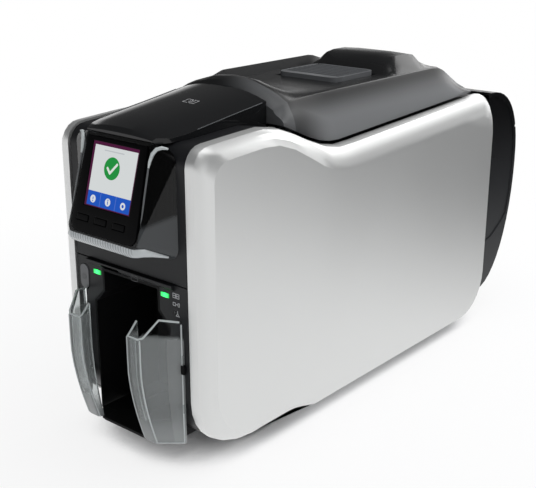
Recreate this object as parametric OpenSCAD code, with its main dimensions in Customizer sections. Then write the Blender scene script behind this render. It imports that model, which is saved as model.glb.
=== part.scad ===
// Desktop card printer: silver side panels round a dark core, a display pod over the
// clear output hopper in front, a hinged lid on top and an input hopper behind.
// Millimetres. X runs to the right, Y to the rear, Z up; the origin is on the table
// under the middle of the machine.

/* [Side panels] */
// Half the width across the flat faces of the two side panels
panel_face_x = 75; // [72:0.5:82]
// Half the width at the rim, where the rounded border of a panel starts
panel_rim_x = 62; // [61:0.5:66]
// Inner edge of a side panel
panel_inner_x = 59; // [56:0.5:60]
// Wall of a side panel
panel_wall = 2.4; // [1.5:0.1:3.5]
// Front edge of the panel rim
panel_front = -213; // [-217:1:-210]
// Rear edge of the panel rim
panel_rear = 181; // [176:1:186]
// Lower edge of the panel rim
panel_bottom = 7; // [5:0.5:10]
// Upper edge of the panel rim at its lowest point, behind the wave
panel_top = 213.5; // [208:0.5:218]
// Rise of the upper edge towards the front
wave_rise = 33; // [24:0.5:36]
// Rise of the lower edge towards the front
base_rise = 7; // [3:0.5:10]
// Slope of the upper edge, as rise over run
top_slope = 0.045; // [0:0.005:0.08]
// How far the flat face is set in from the rim at the front
face_inset_front = 11; // [6:0.5:16]
// How far the flat face is set in from the rim at the rear
face_inset_rear = 5; // [3:0.5:10]
// How far the flat face is set in from the rim at the bottom
face_inset_bottom = 5; // [3:0.5:10]
// How far the flat face lies under the rim at the crest of the wave
face_drop_front = 11; // [8:0.5:16]
// How far the flat face lies under the rim behind the wave
face_drop_rear = 19; // [12:0.5:24]
// Radius of the front upper corner of the panels
corner_front_top = 15; // [10:1:20]
// Radius of the front lower corner of the panels
corner_front_bottom = 42; // [30:1:50]
// Radius of the rear upper corner of the panels
corner_rear_top = 17; // [12:1:22]
// Radius of the rear lower corner of the panels
corner_rear_bottom = 38; // [28:1:46]

/* [Core shells] */
// Wall of the dark core shells
shell_wall = 2.5; // [1.8:0.1:3.5]
// How far the core shells lie inside the rim of the side panels
shell_inset = 1; // [0.5:0.1:2]
// Gap between the core shells and the side panels
side_gap = 1.5; // [1:0.1:2.5]
// Gap between two shells that meet at a seam
seam = 0.6; // [0.3:0.1:1]
// Height of the seam between the upper and the lower front shell
fascia_seam_z = 141.5; // [138:0.5:146]
// Height of the table feet
foot_h = 4; // [3:0.5:6]
// Radius of a table foot
foot_r = 8; // [6:0.5:10]

/* [Display pod] */
// Lean of the display from the vertical, in degrees
pod_tilt = 16; // [10:0.5:20]
// Y of the lower edge of the display face
pod_y = -237; // [-239:0.5:-232]
// Z of the lower edge of the display face
pod_z = 169; // [164:0.5:174]
// Height of the display face along its slope
pod_h = 73; // [66:0.5:76]
// Half width of the display face at its lower edge
pod_half_bottom = 36; // [33:0.5:40]
// Half width of the display face at its upper edge
pod_half_top = 32.5; // [30:0.5:36]
// Half width of the clear surround where it meets the front shell
surround_half = 50; // [45:0.5:54]
// Wall of the clear surround
surround_wall = 2.5; // [2:0.1:4]
// Thickness of the display bezel
bezel_t = 3; // [2:0.1:4]
// Width of the screen
screen_w = 46; // [40:0.5:50]
// Height of the screen
screen_h = 45; // [38:0.5:48]
// Height of the screen over the lower edge of the display face
screen_rise = 22; // [20:0.5:25]
// Width of a menu button
key_w = 12; // [8:0.5:14]
// Height of a menu button
key_h = 4; // [3:0.5:6]
// Height of the menu buttons over the lower edge of the display face
key_rise = 13; // [11:0.5:15]
// Distance between two menu buttons
key_pitch = 18.5; // [16:0.5:22]
// X of the middle menu button
key_x = -3.5; // [-6:0.5:0]
// Clearance round a button in its opening
key_gap = 0.35; // [0.2:0.05:0.6]
// Travel of a button
key_travel = 0.8; // [0.5:0.1:1.2]

/* [Output hopper] */
// Half width of the output bay
bay_half = 38; // [34:0.5:42]
// Half width of the card mouth over the output bay
mouth_half = 28; // [27.5:0.5:31]
// Height of the top of the card mouth
mouth_top = 134; // [131:0.5:137]
// Depth of the output bay behind the front shell
bay_depth = 62; // [55:1:70]
// Height of the floor of the output bay
bay_floor = 19; // [15:0.5:24]
// Wall of the bay liner
liner_wall = 2; // [1.5:0.1:3]
// Front of the clear wings
wing_front = -240; // [-244:0.5:-236]
// Distance from the middle to the inner edge of a wing
wing_inner = 24; // [20:0.5:28]
// Distance from the middle to the front corner of a wing
wing_corner = 38; // [34:0.5:42]
// Distance from the middle to the rear edge of a wing
wing_outer = 53; // [48:0.5:55]
// Wall of a wing
wing_wall = 2.2; // [1.6:0.1:3]
// Height of the lower edge of the wings
wing_bottom = 21.6; // [18:0.2:26]
// Height of the front corner of the wings
wing_top = 106; // [96:0.5:110]
// How far the lower edge of the wings leans back
wing_lean = 13; // [6:0.5:16]

/* [Lid] */
// Front edge of the lid
lid_front = -113; // [-118:0.5:-108]
// Rear edge of the lid
lid_rear = 157; // [150:0.5:162]
// Half width of the lid at its lower edge
lid_half = 60; // [58:0.5:61]
// Half width of the lid at its flat top
lid_top_half = 46; // [42:0.5:50]
// Height of the flat top of the lid
lid_z = 252.5; // [248:0.5:255]
// Height of the collar at the front of the lid
collar_z = 266; // [260:0.5:270]
// Height of the raised rear part of the lid
hump_z = 266; // [260:0.5:270]
// Gap between the lid and the side panels
lid_gap = 3; // [2:0.5:4]
// Wall of the lid
lid_wall = 2.5; // [2:0.1:3.5]
// Width of the ribbed release pad
pad_w = 62; // [50:1:70]
// Length of the ribbed release pad
pad_l = 56; // [50:1:58]
// Y of the front edge of the release pad
pad_y = -12; // [-20:1:0]
// Travel of the release pad
pad_travel = 2.5; // [1.5:0.1:3.5]
// Clearance round the release pad
pad_gap = 0.8; // [0.5:0.1:1.5]
// Number of ribs on the release pad
pad_ribs = 7; // [4:1:10]
// Distance from the lid hinge to the rear edge of the lid
hinge_back = 5; // [4:0.5:8]
// Height of the lid hinge over the rim of the side panels
hinge_rise = 6.5; // [6:0.1:8]

/* [Input hopper] */
// Half width of the rear shroud
shroud_half = 68; // [64:0.5:72]
// Wall of the rear shroud
shroud_wall = 2.6; // [2:0.1:3.5]
// Rear of the shroud
shroud_rear = 240; // [232:0.5:246]
// Top of the shroud
shroud_top = 222; // [216:0.5:228]
// Height of the line where the shroud is deepest
shroud_mid = 148; // [138:1:158]
// Lower edge of the shroud where it leaves the body
shroud_bottom = 27; // [22:0.5:32]
// Height where the hopper cover is split from the shroud
cover_split = 180; // [174:0.5:184]
// Half width of the hopper cover
cover_half = 58; // [54:0.5:60]
// Length of the card well
well_l = 86.5; // [86:0.5:88]
// Half width of the card well
well_half = 29; // [28:0.5:32]
// Height of the floor of the card well
well_floor = 124; // [120:0.5:128]

/* [Mechanism] */
// Half the distance between the chassis plates, to their outer faces
chassis_half = 50; // [46:0.5:52]
// Thickness of the chassis plates
chassis_t = 1.6; // [1.2:0.1:2.5]
// Height of the card path
path_z = 126; // [122:0.5:130]
// Radius of a roller shaft
shaft_r = 3; // [2.5:0.1:4]
// Radial clearance of a shaft in its bore
shaft_gap = 0.05; // [0.02:0.01:0.1]
// Radius of a rubber roller
roller_r = 7; // [6:0.1:7.5]
// Length of a rubber roller
roller_l = 60; // [54:1:70]
// Radius of a belt pulley
pulley_r = 6.5; // [5.5:0.1:7.5]
// Width of a belt pulley
pulley_w = 5; // [4:0.5:6]
// Thickness of a belt
belt_t = 1.2; // [0.8:0.1:2]
// Gap between a belt and its pulleys
belt_gap = 0.3; // [0.2:0.05:0.5]
// Radius of a ribbon spool core
core_r = 8; // [6:0.5:10]
// Radius of the ribbon roll on the supply spool
roll_r = 17; // [12:0.5:20]
// Height of the ribbon spools
spool_z = 182; // [176:1:190]

/* [Hidden] */
$fn = 48;

// Lines shared by the side panels, the core shells and the lid
wave_start = panel_front + 63;
wave_end = wave_start + 105;
base_wave_start = panel_front + 90;
base_wave_end = base_wave_start + 38;
core_half = panel_inner_x - side_gap;
core_front = panel_front + shell_inset;
core_rear = panel_rear - shell_inset;
far = 400;

function lerp(a, b, t) = a + (b - a) * t;
function blend(y, y0, y1) =
    y <= y0 ? 1 : y >= y1 ? 0 : (1 + cos(180 * (y - y0) / (y1 - y0))) / 2;
function arc(cy, cz, r, a0, a1, n) =
    [for (i = [0:n]) [cy + r * cos(lerp(a0, a1, i / n)), cz + r * sin(lerp(a0, a1, i / n))]];

// Upper and lower edge of the rim of a side panel at a given Y
function top_edge(y) =
    panel_top + top_slope * (y - wave_end) + wave_rise * blend(y, wave_start, wave_end);
function base_edge(y) =
    panel_bottom + base_rise * blend(y, base_wave_start, base_wave_end);

// Side outline: k runs from the rim (0) to the flat face (1), g is an extra inset
function face_drop(y) =
    lerp(face_drop_rear, face_drop_front, blend(y, wave_start, wave_end));
function top_line(y, k, g) = top_edge(y) - k * face_drop(y) - g;
function base_line(y, k, g) = base_edge(y) + k * face_inset_bottom + g;
function outline(k, g) =
    let (yf = panel_front + k * face_inset_front + g,
         yr = panel_rear - k * face_inset_rear - g,
         rft = corner_front_top - g,
         rfb = corner_front_bottom - g,
         rrt = corner_rear_top - g,
         rrb = corner_rear_bottom - g,
         n = 20)
    concat(
        arc(yf + rfb, base_line(yf + rfb, k, g) + rfb, rfb, 270, 180, 7),
        arc(yf + rft, top_line(yf + rft, k, g) - rft, rft, 180, 90, 5),
        [for (i = [1:n - 1]) let (y = lerp(yf + rft, yr - rrt, i / n)) [y, top_line(y, k, g)]],
        arc(yr - rrt, top_line(yr - rrt, k, g) - rrt, rrt, 90, 0, 5),
        arc(yr - rrb, base_line(yr - rrb, k, g) + rrb, rrb, 0, -90, 7),
        [for (i = [0:5]) let (y = lerp(base_wave_end, base_wave_start, i / 5))
            [y, base_line(y, k, g)]]
    );

function reversed(list) = [for (i = [len(list) - 1:-1:0]) list[i]];

// A solid through a row of rings that have equally many points
module loft(rings) {
    n = len(rings[0]);
    m = len(rings);
    pts = [for (r = rings) each r];
    sides = [for (i = [0:m - 2]) for (j = [0:n - 1]) let (k = (j + 1) % n)
        each [[i * n + j, i * n + k, (i + 1) * n + k],
              [i * n + j, (i + 1) * n + k, (i + 1) * n + j]]];
    first = [for (j = [n - 1:-1:0]) j];
    last = [for (j = [0:n - 1]) (m - 1) * n + j];
    polyhedron(points = pts, faces = concat(sides, [first], [last]), convexity = 10);
}

// Extrudes a drawing in Y and Z along X
module side_extrude(x0, x1) {
    translate([x0, 0, 0]) rotate([90, 0, 90]) linear_extrude(x1 - x0) children();
}

// Extrudes a drawing in X and Z along Y
module front_extrude(y0, y1) {
    translate([0, y1, 0]) rotate([90, 0, 0]) linear_extrude(y1 - y0) children();
}

module block(x0, x1, y0, y1, z0, z1) {
    translate([x0, y0, z0]) cube([x1 - x0, y1 - y0, z1 - z0]);
}

module window(y0, y1, z0, z1) {
    translate([y0, z0]) square([y1 - y0, z1 - z0]);
}

module rounded_rect(x0, x1, y0, y1, r) {
    union() {
        translate([x0 + r, y0]) square([x1 - x0 - 2 * r, y1 - y0]);
        translate([x0, y0 + r]) square([x1 - x0, y1 - y0 - 2 * r]);
        for (x = [x0 + r, x1 - r], y = [y0 + r, y1 - r]) translate([x, y]) circle(r);
    }
}

// Places a child in the plane of the display face: X across, Y inwards, Z up the face
module on_face() {
    translate([0, pod_y, pod_z]) rotate([-pod_tilt, 0, 0]) children();
}

// ---- Side panels ----

border_turn = 65;

function skin_ring(u, g, x_in) =
    let (a = border_turn * u,
         k = (1 - cos(a)) / (1 - cos(border_turn)),
         x = lerp(panel_rim_x, panel_face_x - x_in, sin(a) / sin(border_turn)))
    [for (p = outline(k, g)) [x, p[0], p[1]]];
function flat_ring(x, g) = [for (p = outline(0, g)) [x, p[0], p[1]]];

boss_y = [-118, 118];
boss_z = [40, 186];

module side_panel() {
    union() {
        difference() {
            loft(concat([flat_ring(panel_inner_x, 0)],
                        [for (u = [0:4]) skin_ring(u / 4, 0, 0)]));
            loft(concat([flat_ring(panel_inner_x - 1, panel_wall)],
                        [for (u = [0:4]) skin_ring(u / 4, panel_wall, panel_wall)]));
        }
        for (y = boss_y, z = boss_z)
            translate([chassis_half, y, z]) rotate([0, 90, 0])
                cylinder(r = 5, h = panel_face_x - panel_wall - chassis_half + 0.5);
    }
}

module right_side_panel() {
    color("gainsboro") side_panel();
}

module left_side_panel() {
    color("gainsboro") mirror([1, 0, 0]) side_panel();
}

// ---- Core shells ----

module core_ring(y0, y1, z0, z1) {
    intersection() {
        difference() {
            polygon(outline(0, shell_inset));
            polygon(outline(0, shell_inset + shell_wall));
        }
        window(y0, y1, z0, z1);
    }
}

base_top = 30;
sole_bottom = foot_h - 1;
sole_half = core_half - 1;
sole_front = panel_front + 62;
sole_rear = panel_rear - 26;
foot_x = sole_half - foot_r - 5;
foot_y = [sole_front + foot_r + 6, sole_rear - foot_r - 6];
foot_seat = 1.5;
foot_edge = 0.6;

module base_tray() {
    color("#1b1c1e") difference() {
        union() {
            side_extrude(-core_half, core_half) core_ring(-far, far, 0, base_top);
            block(-sole_half, sole_half, sole_front, sole_rear, sole_bottom,
                  panel_bottom + shell_inset + shell_wall);
            for (x = [-40, 0, 40])
                block(x - 1, x + 1, sole_front + 12, sole_rear - 10,
                      panel_bottom + shell_inset + shell_wall, chassis_floor);
        }
        for (x = [-foot_x, foot_x], y = foot_y)
            translate([x, y, sole_bottom - 1]) cylinder(r = foot_r + 0.1, h = 1 + foot_seat);
        block(-bay_half - liner_wall - liner_gap, bay_half + liner_wall + liner_gap, -far,
              liner_rear + liner_gap, bay_floor - liner_wall - liner_gap, far);
    }
}

module rubber_feet() {
    color("#26272a") for (x = [-foot_x, foot_x], y = foot_y)
        translate([x, y, 0]) union() {
            cylinder(r1 = foot_r - foot_edge, r2 = foot_r, h = foot_edge);
            translate([0, 0, foot_edge])
                cylinder(r = foot_r, h = sole_bottom + foot_seat - foot_edge);
        }
}

hood_half = 43;
pod_hole_half = 41;

module upper_fascia() {
    color("#2c2e31") difference() {
        union() {
            side_extrude(-core_half, core_half)
                core_ring(-far, lid_front - seam, fascia_seam_z, far);
            // webs that close the ends beside the panels
            for (s = [-1, 1]) side_extrude(s * core_half - (s > 0 ? 2 : 0),
                                           s * core_half + (s > 0 ? 0 : 2))
                intersection() {
                    polygon(outline(0, shell_inset));
                    window(core_front, core_front + 26, fascia_seam_z, far);
                }
        }
        block(-pod_hole_half, pod_hole_half, -far, core_front + 12, 166, 226);
        block(-hood_half + 6, hood_half - 6, core_front + 22, lid_front - 10, 200, far);
    }
}

notch_left = -mouth_half;
notch_right = -9;
canopy_out = 3;

liner_front = core_front + shell_wall;
liner_rear = core_front + bay_depth;
liner_gap = 0.2;

// Outline of the bay: wide below, as narrow as a card at the mouth; g grows it
module mouth_outline(g) {
    polygon([[-mouth_half - g, mouth_top + g], [-mouth_half - g, 118 + g / 2],
             [-bay_half - g, 108 + g / 2], [-bay_half - g, bay_floor - g],
             [bay_half + g, bay_floor - g], [bay_half + g, 108 + g / 2],
             [mouth_half + g, 118 + g / 2], [mouth_half + g, mouth_top + g]]);
}

key_oval_w = 9;
key_oval_h = 19;
power_x = -(core_half - 7.5);
power_z = 125;

module oval(w, h) {
    union() {
        translate([-w / 2, -h / 2 + w / 2]) square([w, h - w]);
        translate([0, h / 2 - w / 2]) circle(w / 2);
        translate([0, -h / 2 + w / 2]) circle(w / 2);
    }
}

light_w = 8;
light_h = 3.2;
light_x = mouth_half + 7.5;
light_z = 131.5;

module lower_fascia() {
    color("#2c2e31") difference() {
        union() {
            side_extrude(-core_half, core_half)
                core_ring(-far, core_front + 40, base_top + seam, fascia_seam_z - seam);
            for (s = [-1, 1]) side_extrude(s * core_half - (s > 0 ? 2 : 0),
                                           s * core_half + (s > 0 ? 0 : 2))
                intersection() {
                    polygon(outline(0, shell_inset));
                    window(core_front, core_front + 26, base_top + seam, fascia_seam_z - seam);
                }
            // canopy over the card mouth
            side_extrude(-mouth_half - 17, mouth_half + 17)
                polygon([[core_front + 1, fascia_seam_z - seam],
                         [core_front - canopy_out, fascia_seam_z - seam],
                         [core_front - canopy_out, fascia_seam_z - 3],
                         [core_front + 1, mouth_top + 1.5]]);
        }
        front_extrude(-far, core_front + 20) mouth_outline(liner_wall);
        block(notch_left, notch_right, -far, core_front + 20, mouth_top - 1, fascia_seam_z - 2);
        front_extrude(-far, core_front + 20) translate([power_x, power_z])
            oval(key_oval_w + 2 * key_gap, key_oval_h + 2 * key_gap);
        for (s = [-1, 1]) block(s * light_x - light_w / 2, s * light_x + light_w / 2,
                                -far, core_front + 20, light_z - light_h / 2,
                                light_z + light_h / 2);
    }
}

module status_light_guides() {
    color("#37d65f") for (s = [0, 1]) mirror([s, 0, 0]) union() {
        block(light_x - light_w / 2 + 0.1, light_x + light_w / 2 - 0.1,
              core_front - 0.4, core_front + shell_wall + 1,
              light_z - light_h / 2 + 0.1, light_z + light_h / 2 - 0.1);
        block(light_x - light_w / 2 + 0.1, light_x + light_w / 2 + 1,
              core_front + shell_wall, core_front + shell_wall + 3,
              light_z - light_h / 2 - 1, light_z + light_h / 2 + 1);
    }
}

module power_button() {
    color("#303236") union() {
        front_extrude(core_front - 0.6, core_front + shell_wall + key_travel + 0.6)
            translate([power_x, power_z]) oval(key_oval_w, key_oval_h);
        front_extrude(core_front + shell_wall + 0.3, core_front + shell_wall + 2.3)
            translate([power_x + 0.6, power_z]) oval(key_oval_w + 2.4, key_oval_h + 4);
    }
}

// ---- Display pod ----

function face_outline(grow) =
    let (r = 7, b = pod_half_bottom + grow, t = pod_half_top + grow)
    concat([for (a = [270:-15:180]) [-b + r + r * cos(a), -grow + r + r * sin(a)]],
           [[-t, pod_h + grow], [t, pod_h + grow]],
           [for (a = [0:-15:-90]) [b - r + r * cos(a), -grow + r + r * sin(a)]]);

module face_plate(grow, y0, y1) {
    on_face() front_extrude(y0, y1) polygon(face_outline(grow));
}

surround_bottom = pod_z - 10;
surround_top = top_edge(core_front + 8) - 3;

// Ring with rounded corners: half widths at the bottom and the top, heights, radii
function pod_ring(b, t, z0, z1, rb, rt) = concat(
    [for (a = [270:-15:180]) [-b + rb + rb * cos(a), z0 + rb + rb * sin(a)]],
    [for (a = [180:-22.5:90]) [-t + rt + rt * cos(a), z1 - rt + rt * sin(a)]],
    [for (a = [90:-22.5:0]) [t - rt + rt * cos(a), z1 - rt + rt * sin(a)]],
    [for (a = [0:-15:-90]) [b - rb + rb * cos(a), z0 + rb + rb * sin(a)]]);
function on_slope(pts, d) = [for (p = pts)
    [p[0], pod_y + d * cos(pod_tilt) + p[1] * sin(pod_tilt),
     pod_z - d * sin(pod_tilt) + p[1] * cos(pod_tilt)]];
function upright(pts, y) = [for (p = pts) [p[0], y, p[1]]];

module pod_loft(inset, d, y_back) {
    loft(reversed([on_slope(pod_ring(pod_half_bottom - inset, pod_half_top - inset, inset,
                            pod_h - inset, 7, 2), d),
          upright(pod_ring(surround_half - inset, surround_half - inset,
                           surround_bottom + inset, surround_top - inset / 2, 9, 9), y_back)]));
}

module clear_surround() {
    color([0.75, 0.8, 0.82, 0.4]) difference() {
        pod_loft(0, 0.4, core_front);
        pod_loft(surround_wall, -0.6, core_front + 0.6);
    }
}

face_inner = surround_wall + 0.15;

module display_bezel() {
    color("#08090a") difference() {
        on_face() front_extrude(0, bezel_t) polygon(face_outline(-face_inner));
        on_face() block(-screen_w / 2, screen_w / 2, -1, bezel_t + 1,
                        screen_rise, screen_rise + screen_h);
        for (i = [-1, 0, 1]) on_face()
            block(key_x + i * key_pitch - key_w / 2 - key_gap,
                  key_x + i * key_pitch + key_w / 2 + key_gap, -1, bezel_t + 1,
                  key_rise - key_h / 2 - key_gap, key_rise + key_h / 2 + key_gap);
    }
}

module screen_module() {
    color("#3d0f2c") on_face() union() {
        block(-screen_w / 2 + 0.1, screen_w / 2 - 0.1, 0.4, bezel_t,
              screen_rise + 0.1, screen_rise + screen_h - 0.1);
        block(-screen_w / 2 - 3, screen_w / 2 + 3, bezel_t, bezel_t + 3,
              screen_rise - 3, screen_rise + screen_h + 1);
    }
}

module menu_button(i) {
    color("#141517") on_face() union() {
        block(key_x + i * key_pitch - key_w / 2, key_x + i * key_pitch + key_w / 2,
              -0.5, bezel_t + key_travel + 0.5, key_rise - key_h / 2, key_rise + key_h / 2);
        block(key_x + i * key_pitch - key_w / 2 - 1.5, key_x + i * key_pitch + key_w / 2 + 1.5,
              bezel_t + 0.3, bezel_t + 1.8, key_rise - key_h / 2 - 1, key_rise + key_h / 2 + 1);
    }
}

module left_menu_button() { menu_button(-1); }

module middle_menu_button() { menu_button(0); }

module right_menu_button() { menu_button(1); }

// ---- Hood over the display pod ----

face_top_y = pod_y + pod_h * sin(pod_tilt);
face_top_z = pod_z + pod_h * cos(pod_tilt);
hood_slope = tan(7.5);
hood_crown = 7;
hood_seat = 0.1;

function hood_edge(y) = face_top_z + 2.5 + hood_slope * (y - face_top_y - 14);
function hood_section(y, w, base, edge, crown) =
    concat([[-w, y, base], [-w, y, edge]],
           [for (i = [1:9]) let (t = i / 5 - 1) [w * t, y, edge + crown * (1 - pow(abs(t), 2.4))]],
           [[w, y, edge], [w, y, base]]);

function hood_base(y) = top_edge(y) - shell_inset + hood_seat;
function hood_station(y, w, wall) =
    hood_section(y, w - wall, hood_base(y) - wall * 3, hood_edge(y) - wall, hood_crown);

module hood_solid(wall) {
    y_end = lid_front - seam + (wall > 0 ? 1 : 0);
    loft(reversed(concat([
        hood_section(face_top_y + 0.8 + wall, pod_half_top - wall, face_top_z + 0.3 - wall * 2,
                     face_top_z + 1.2 - wall, 1.2),
        hood_section(face_top_y + 4 + wall, pod_half_top + 1 - wall, face_top_z - 1.6 - wall * 2,
                     face_top_z + 2.6 - wall, 3),
        hood_section(face_top_y + 12, hood_half - 3 - wall, hood_base(face_top_y + 12) - wall * 3,
                     hood_edge(face_top_y + 12) - wall, hood_crown * 0.8),
        hood_station(face_top_y + 26, hood_half, wall)],
        [for (i = [0:5]) hood_station(lerp(wave_start, y_end, i / 5),
                                      hood_half + i / 5, wall)])));
}

module front_hood() {
    color("#0b0c0d") difference() {
        hood_solid(0);
        hood_solid(shell_wall);
    }
}

// ---- Deck under the lid and rear cover ----

deck_half = 46;
deck_front = lid_front + 13;
deck_end = lid_rear - 10;
deck_rear = deck_end - 22;
hinge_y = lid_rear - hinge_back;
hinge_z = top_edge(hinge_y) + hinge_rise;
hinge_pin_r = 2;
knuckle_r = 3.2;
lug_in = 26;
lug_out = 32;

module bay_frame() {
    color("#222326") difference() {
        side_extrude(-core_half, core_half) core_ring(lid_front, deck_end - seam, 150, far);
        block(-deck_half, deck_half, deck_front, deck_rear, 150, far);
    }
}

module rod(x0, x1, y, z, r) {
    translate([x0, y, z]) rotate([0, 90, 0]) cylinder(r = r, h = x1 - x0);
}

well_y0 = shroud_rear - 7.5 - well_l;
well_wall = 2;
well_out = well_half + well_wall;
port_z = 54;

module rear_cover() {
    color("#2b2d30") difference() {
        union() {
            side_extrude(-core_half, core_half) core_ring(deck_end, far, base_top + seam, far);
            for (s = [-1, 1]) side_extrude(s * core_half - (s > 0 ? 2 : 0),
                                           s * core_half + (s > 0 ? 0 : 2))
                intersection() {
                    polygon(outline(0, shell_inset));
                    window(core_rear - 24, core_rear, base_top + seam, far);
                }
            for (s = [-1, 1]) {
                x0 = s > 0 ? lug_in : -lug_out;
                rod(x0, x0 + lug_out - lug_in, hinge_y, hinge_z, knuckle_r);
                block(x0, x0 + lug_out - lug_in, hinge_y - knuckle_r, hinge_y + knuckle_r,
                      top_edge(hinge_y) - shell_inset - 1, hinge_z);
            }
        }
        rod(-far, far, hinge_y, hinge_z, hinge_pin_r + 0.05);
        block(-well_out - 0.4, well_out + 0.4, core_rear - 30, far,
              well_floor - well_wall - 0.4, cover_split + 0.4);
        block(-36 - 7, -36 + 7, core_rear - 10, far, port_z - 6, port_z + 6);
        block(-7, 7, core_rear - 10, far, port_z - 6.5, port_z + 6.5);
        block(36 - 8.5, 36 + 8.5, core_rear - 10, far, port_z - 7.5, port_z + 7.5);
    }
}

module lid_hinge_pins() {
    color("#b9bcc0") for (s = [0, 1]) mirror([s, 0, 0])
        rod(lug_in - 6.6, lug_out + 0.5, hinge_y, hinge_z, hinge_pin_r);
}

module power_inlet() {
    color("#17181a") difference() {
        translate([-36, 0, port_z]) union() {
            block(-6.8, 6.8, core_rear - 14, core_rear, -5.8, 5.8);
            block(-9, 9, core_rear - 14, core_rear - shell_wall - 0.05, -8, 8);
        }
        translate([-36, core_rear - 9, port_z]) rotate([-90, 0, 0]) cylinder(r = 4, h = 12);
    }
}

module usb_port() {
    color("#9da1a6") difference() {
        translate([0, 0, port_z]) union() {
            block(-6.8, 6.8, core_rear - 14, core_rear, -6.3, 6.3);
            block(-9, 9, core_rear - 14, core_rear - shell_wall - 0.05, -8.5, 8.5);
        }
        block(-4.5, 4.5, core_rear - 9, core_rear + 1, port_z - 4.2, port_z + 4.2);
    }
}

module network_port() {
    color("#9da1a6") difference() {
        translate([36, 0, port_z]) union() {
            block(-8.3, 8.3, core_rear - 14, core_rear, -7.3, 7.3);
            block(-10, 10, core_rear - 14, core_rear - shell_wall - 0.05, -9, 9);
        }
        block(30, 42, core_rear - 11, core_rear + 1, port_z - 5, port_z + 3.6);
    }
}

// ---- Input hopper ----

shroud_y0 = core_rear + 0.2;
bay_port_half = 50;
bay_port_top = 104;
top_roundness = 2.4;
top_power = 2 / top_roundness;

function shroud_profile(g) =
    let (a = shroud_rear - g - shroud_y0, up = shroud_top - g - shroud_mid,
         down = shroud_mid - shroud_bottom - g)
    concat([for (i = [0:12]) let (t = 90 - 7.5 * i)
                [shroud_y0 + a * pow(cos(t), top_power), shroud_mid + up * pow(sin(t), top_power)]],
           [for (i = [1:12]) let (t = 7.5 * i)
                [shroud_y0 + a * cos(t), shroud_mid - down * sin(t)]]);

// Y of the outer skin of the shroud at height z above its deepest line
function shroud_y(z) =
    shroud_y0 + (shroud_rear - shroud_y0)
    * pow(1 - pow((z - shroud_mid) / (shroud_top - shroud_mid), top_roundness),
          1 / top_roundness);

cover_pin_z = cover_split + 2.6;
cover_pin_y = shroud_y(cover_split) - 1.2;
cover_pin_r = 1.25;
cover_lug_r = 2.3;
cover_lug_in = 20;
cover_lug_out = 26;
cover_half_gap = 0.4;
lever_x = 44;
lever_y = 198;
lever_run = 12;

recess_deep = 1.2;
recess_edge = 4.5;
recess_low = 72;
recess_high = 104;

module shroud_shell() {
    difference() {
        side_extrude(-shroud_half, shroud_half) polygon(shroud_profile(0));
        // shallow recess in each cheek, over a rim that climbs to the rear
        for (s = [-1, 1])
            side_extrude(s > 0 ? shroud_half - recess_deep : -far,
                         s > 0 ? far : -shroud_half + recess_deep)
                intersection() {
                    polygon(shroud_profile(recess_edge));
                    polygon([[core_rear - 1, recess_low], [core_rear + 22, recess_low + 5],
                             [core_rear + 40, recess_low + 15], [shroud_rear, recess_high],
                             [shroud_rear, far], [core_rear - 1, far]]);
                }
        side_extrude(-shroud_half + shroud_wall, shroud_half - shroud_wall)
            polygon(shroud_profile(shroud_wall));
        block(-bay_port_half, bay_port_half, 0, far, 0, bay_port_top);
        block(-cover_half - cover_half_gap, cover_half + cover_half_gap, 0, far,
              cover_split, far);
    }
}

module inside_shroud() {
    intersection() {
        side_extrude(-shroud_half + 1, shroud_half - 1) polygon(shroud_profile(1));
        children();
    }
}

module rear_shroud() {
    wall_in = cover_half + cover_half_gap;
    color("#101113") difference() {
        union() {
            shroud_shell();
            inside_shroud() union() {
                // walls of the recess for the sockets
                for (s = [-1, 1]) block(s * bay_port_half - (s < 0 ? 2 : 0),
                                        s * bay_port_half + (s < 0 ? 0 : 2),
                                        shroud_y0, far, 0, bay_port_top + 2);
                block(-bay_port_half, bay_port_half, shroud_y0, far,
                      bay_port_top, bay_port_top + 2);
                // cheeks beside the cover and the deck under it
                for (s = [-1, 1]) block(s * wall_in - (s < 0 ? 2 : 0),
                                        s * wall_in + (s < 0 ? 0 : 2),
                                        shroud_y0, far, cover_split - 2, far);
                block(-wall_in, wall_in, shroud_y0, far, cover_split - 2, cover_split);
            }
            block(-well_out, well_out, well_y0 - well_wall, well_y0 + well_l + well_wall,
                  well_floor - well_wall, cover_split);
            for (s = [-1, 1]) {
                x0 = s > 0 ? cover_lug_in : -cover_lug_out;
                rod(x0, x0 + cover_lug_out - cover_lug_in, cover_pin_y, cover_pin_z, cover_lug_r);
                block(x0, x0 + cover_lug_out - cover_lug_in, cover_pin_y - cover_lug_r,
                      cover_pin_y + cover_lug_r - 0.6, cover_split - 1, cover_pin_z);
            }
        }
        block(-well_half, well_half, well_y0, well_y0 + well_l, well_floor, far);
        block(-28, 28, well_y0 - well_wall - 1, well_y0 + 1, well_floor, well_floor + 2.4);
        rod(-far, far, cover_pin_y, cover_pin_z, cover_pin_r + 0.03);
        block(lever_x - 2, lever_x + 2, lever_y - 1, lever_y + 5 + lever_run,
              cover_split - 3, cover_split + 1);
        // room for the rear rims of the side panels
        for (s = [-1, 1]) block(s > 0 ? core_half + 0.5 : -far, s > 0 ? far : -core_half - 0.5,
                                core_rear - 1, panel_rear + 0.2, 0, far);
    }
}

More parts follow.
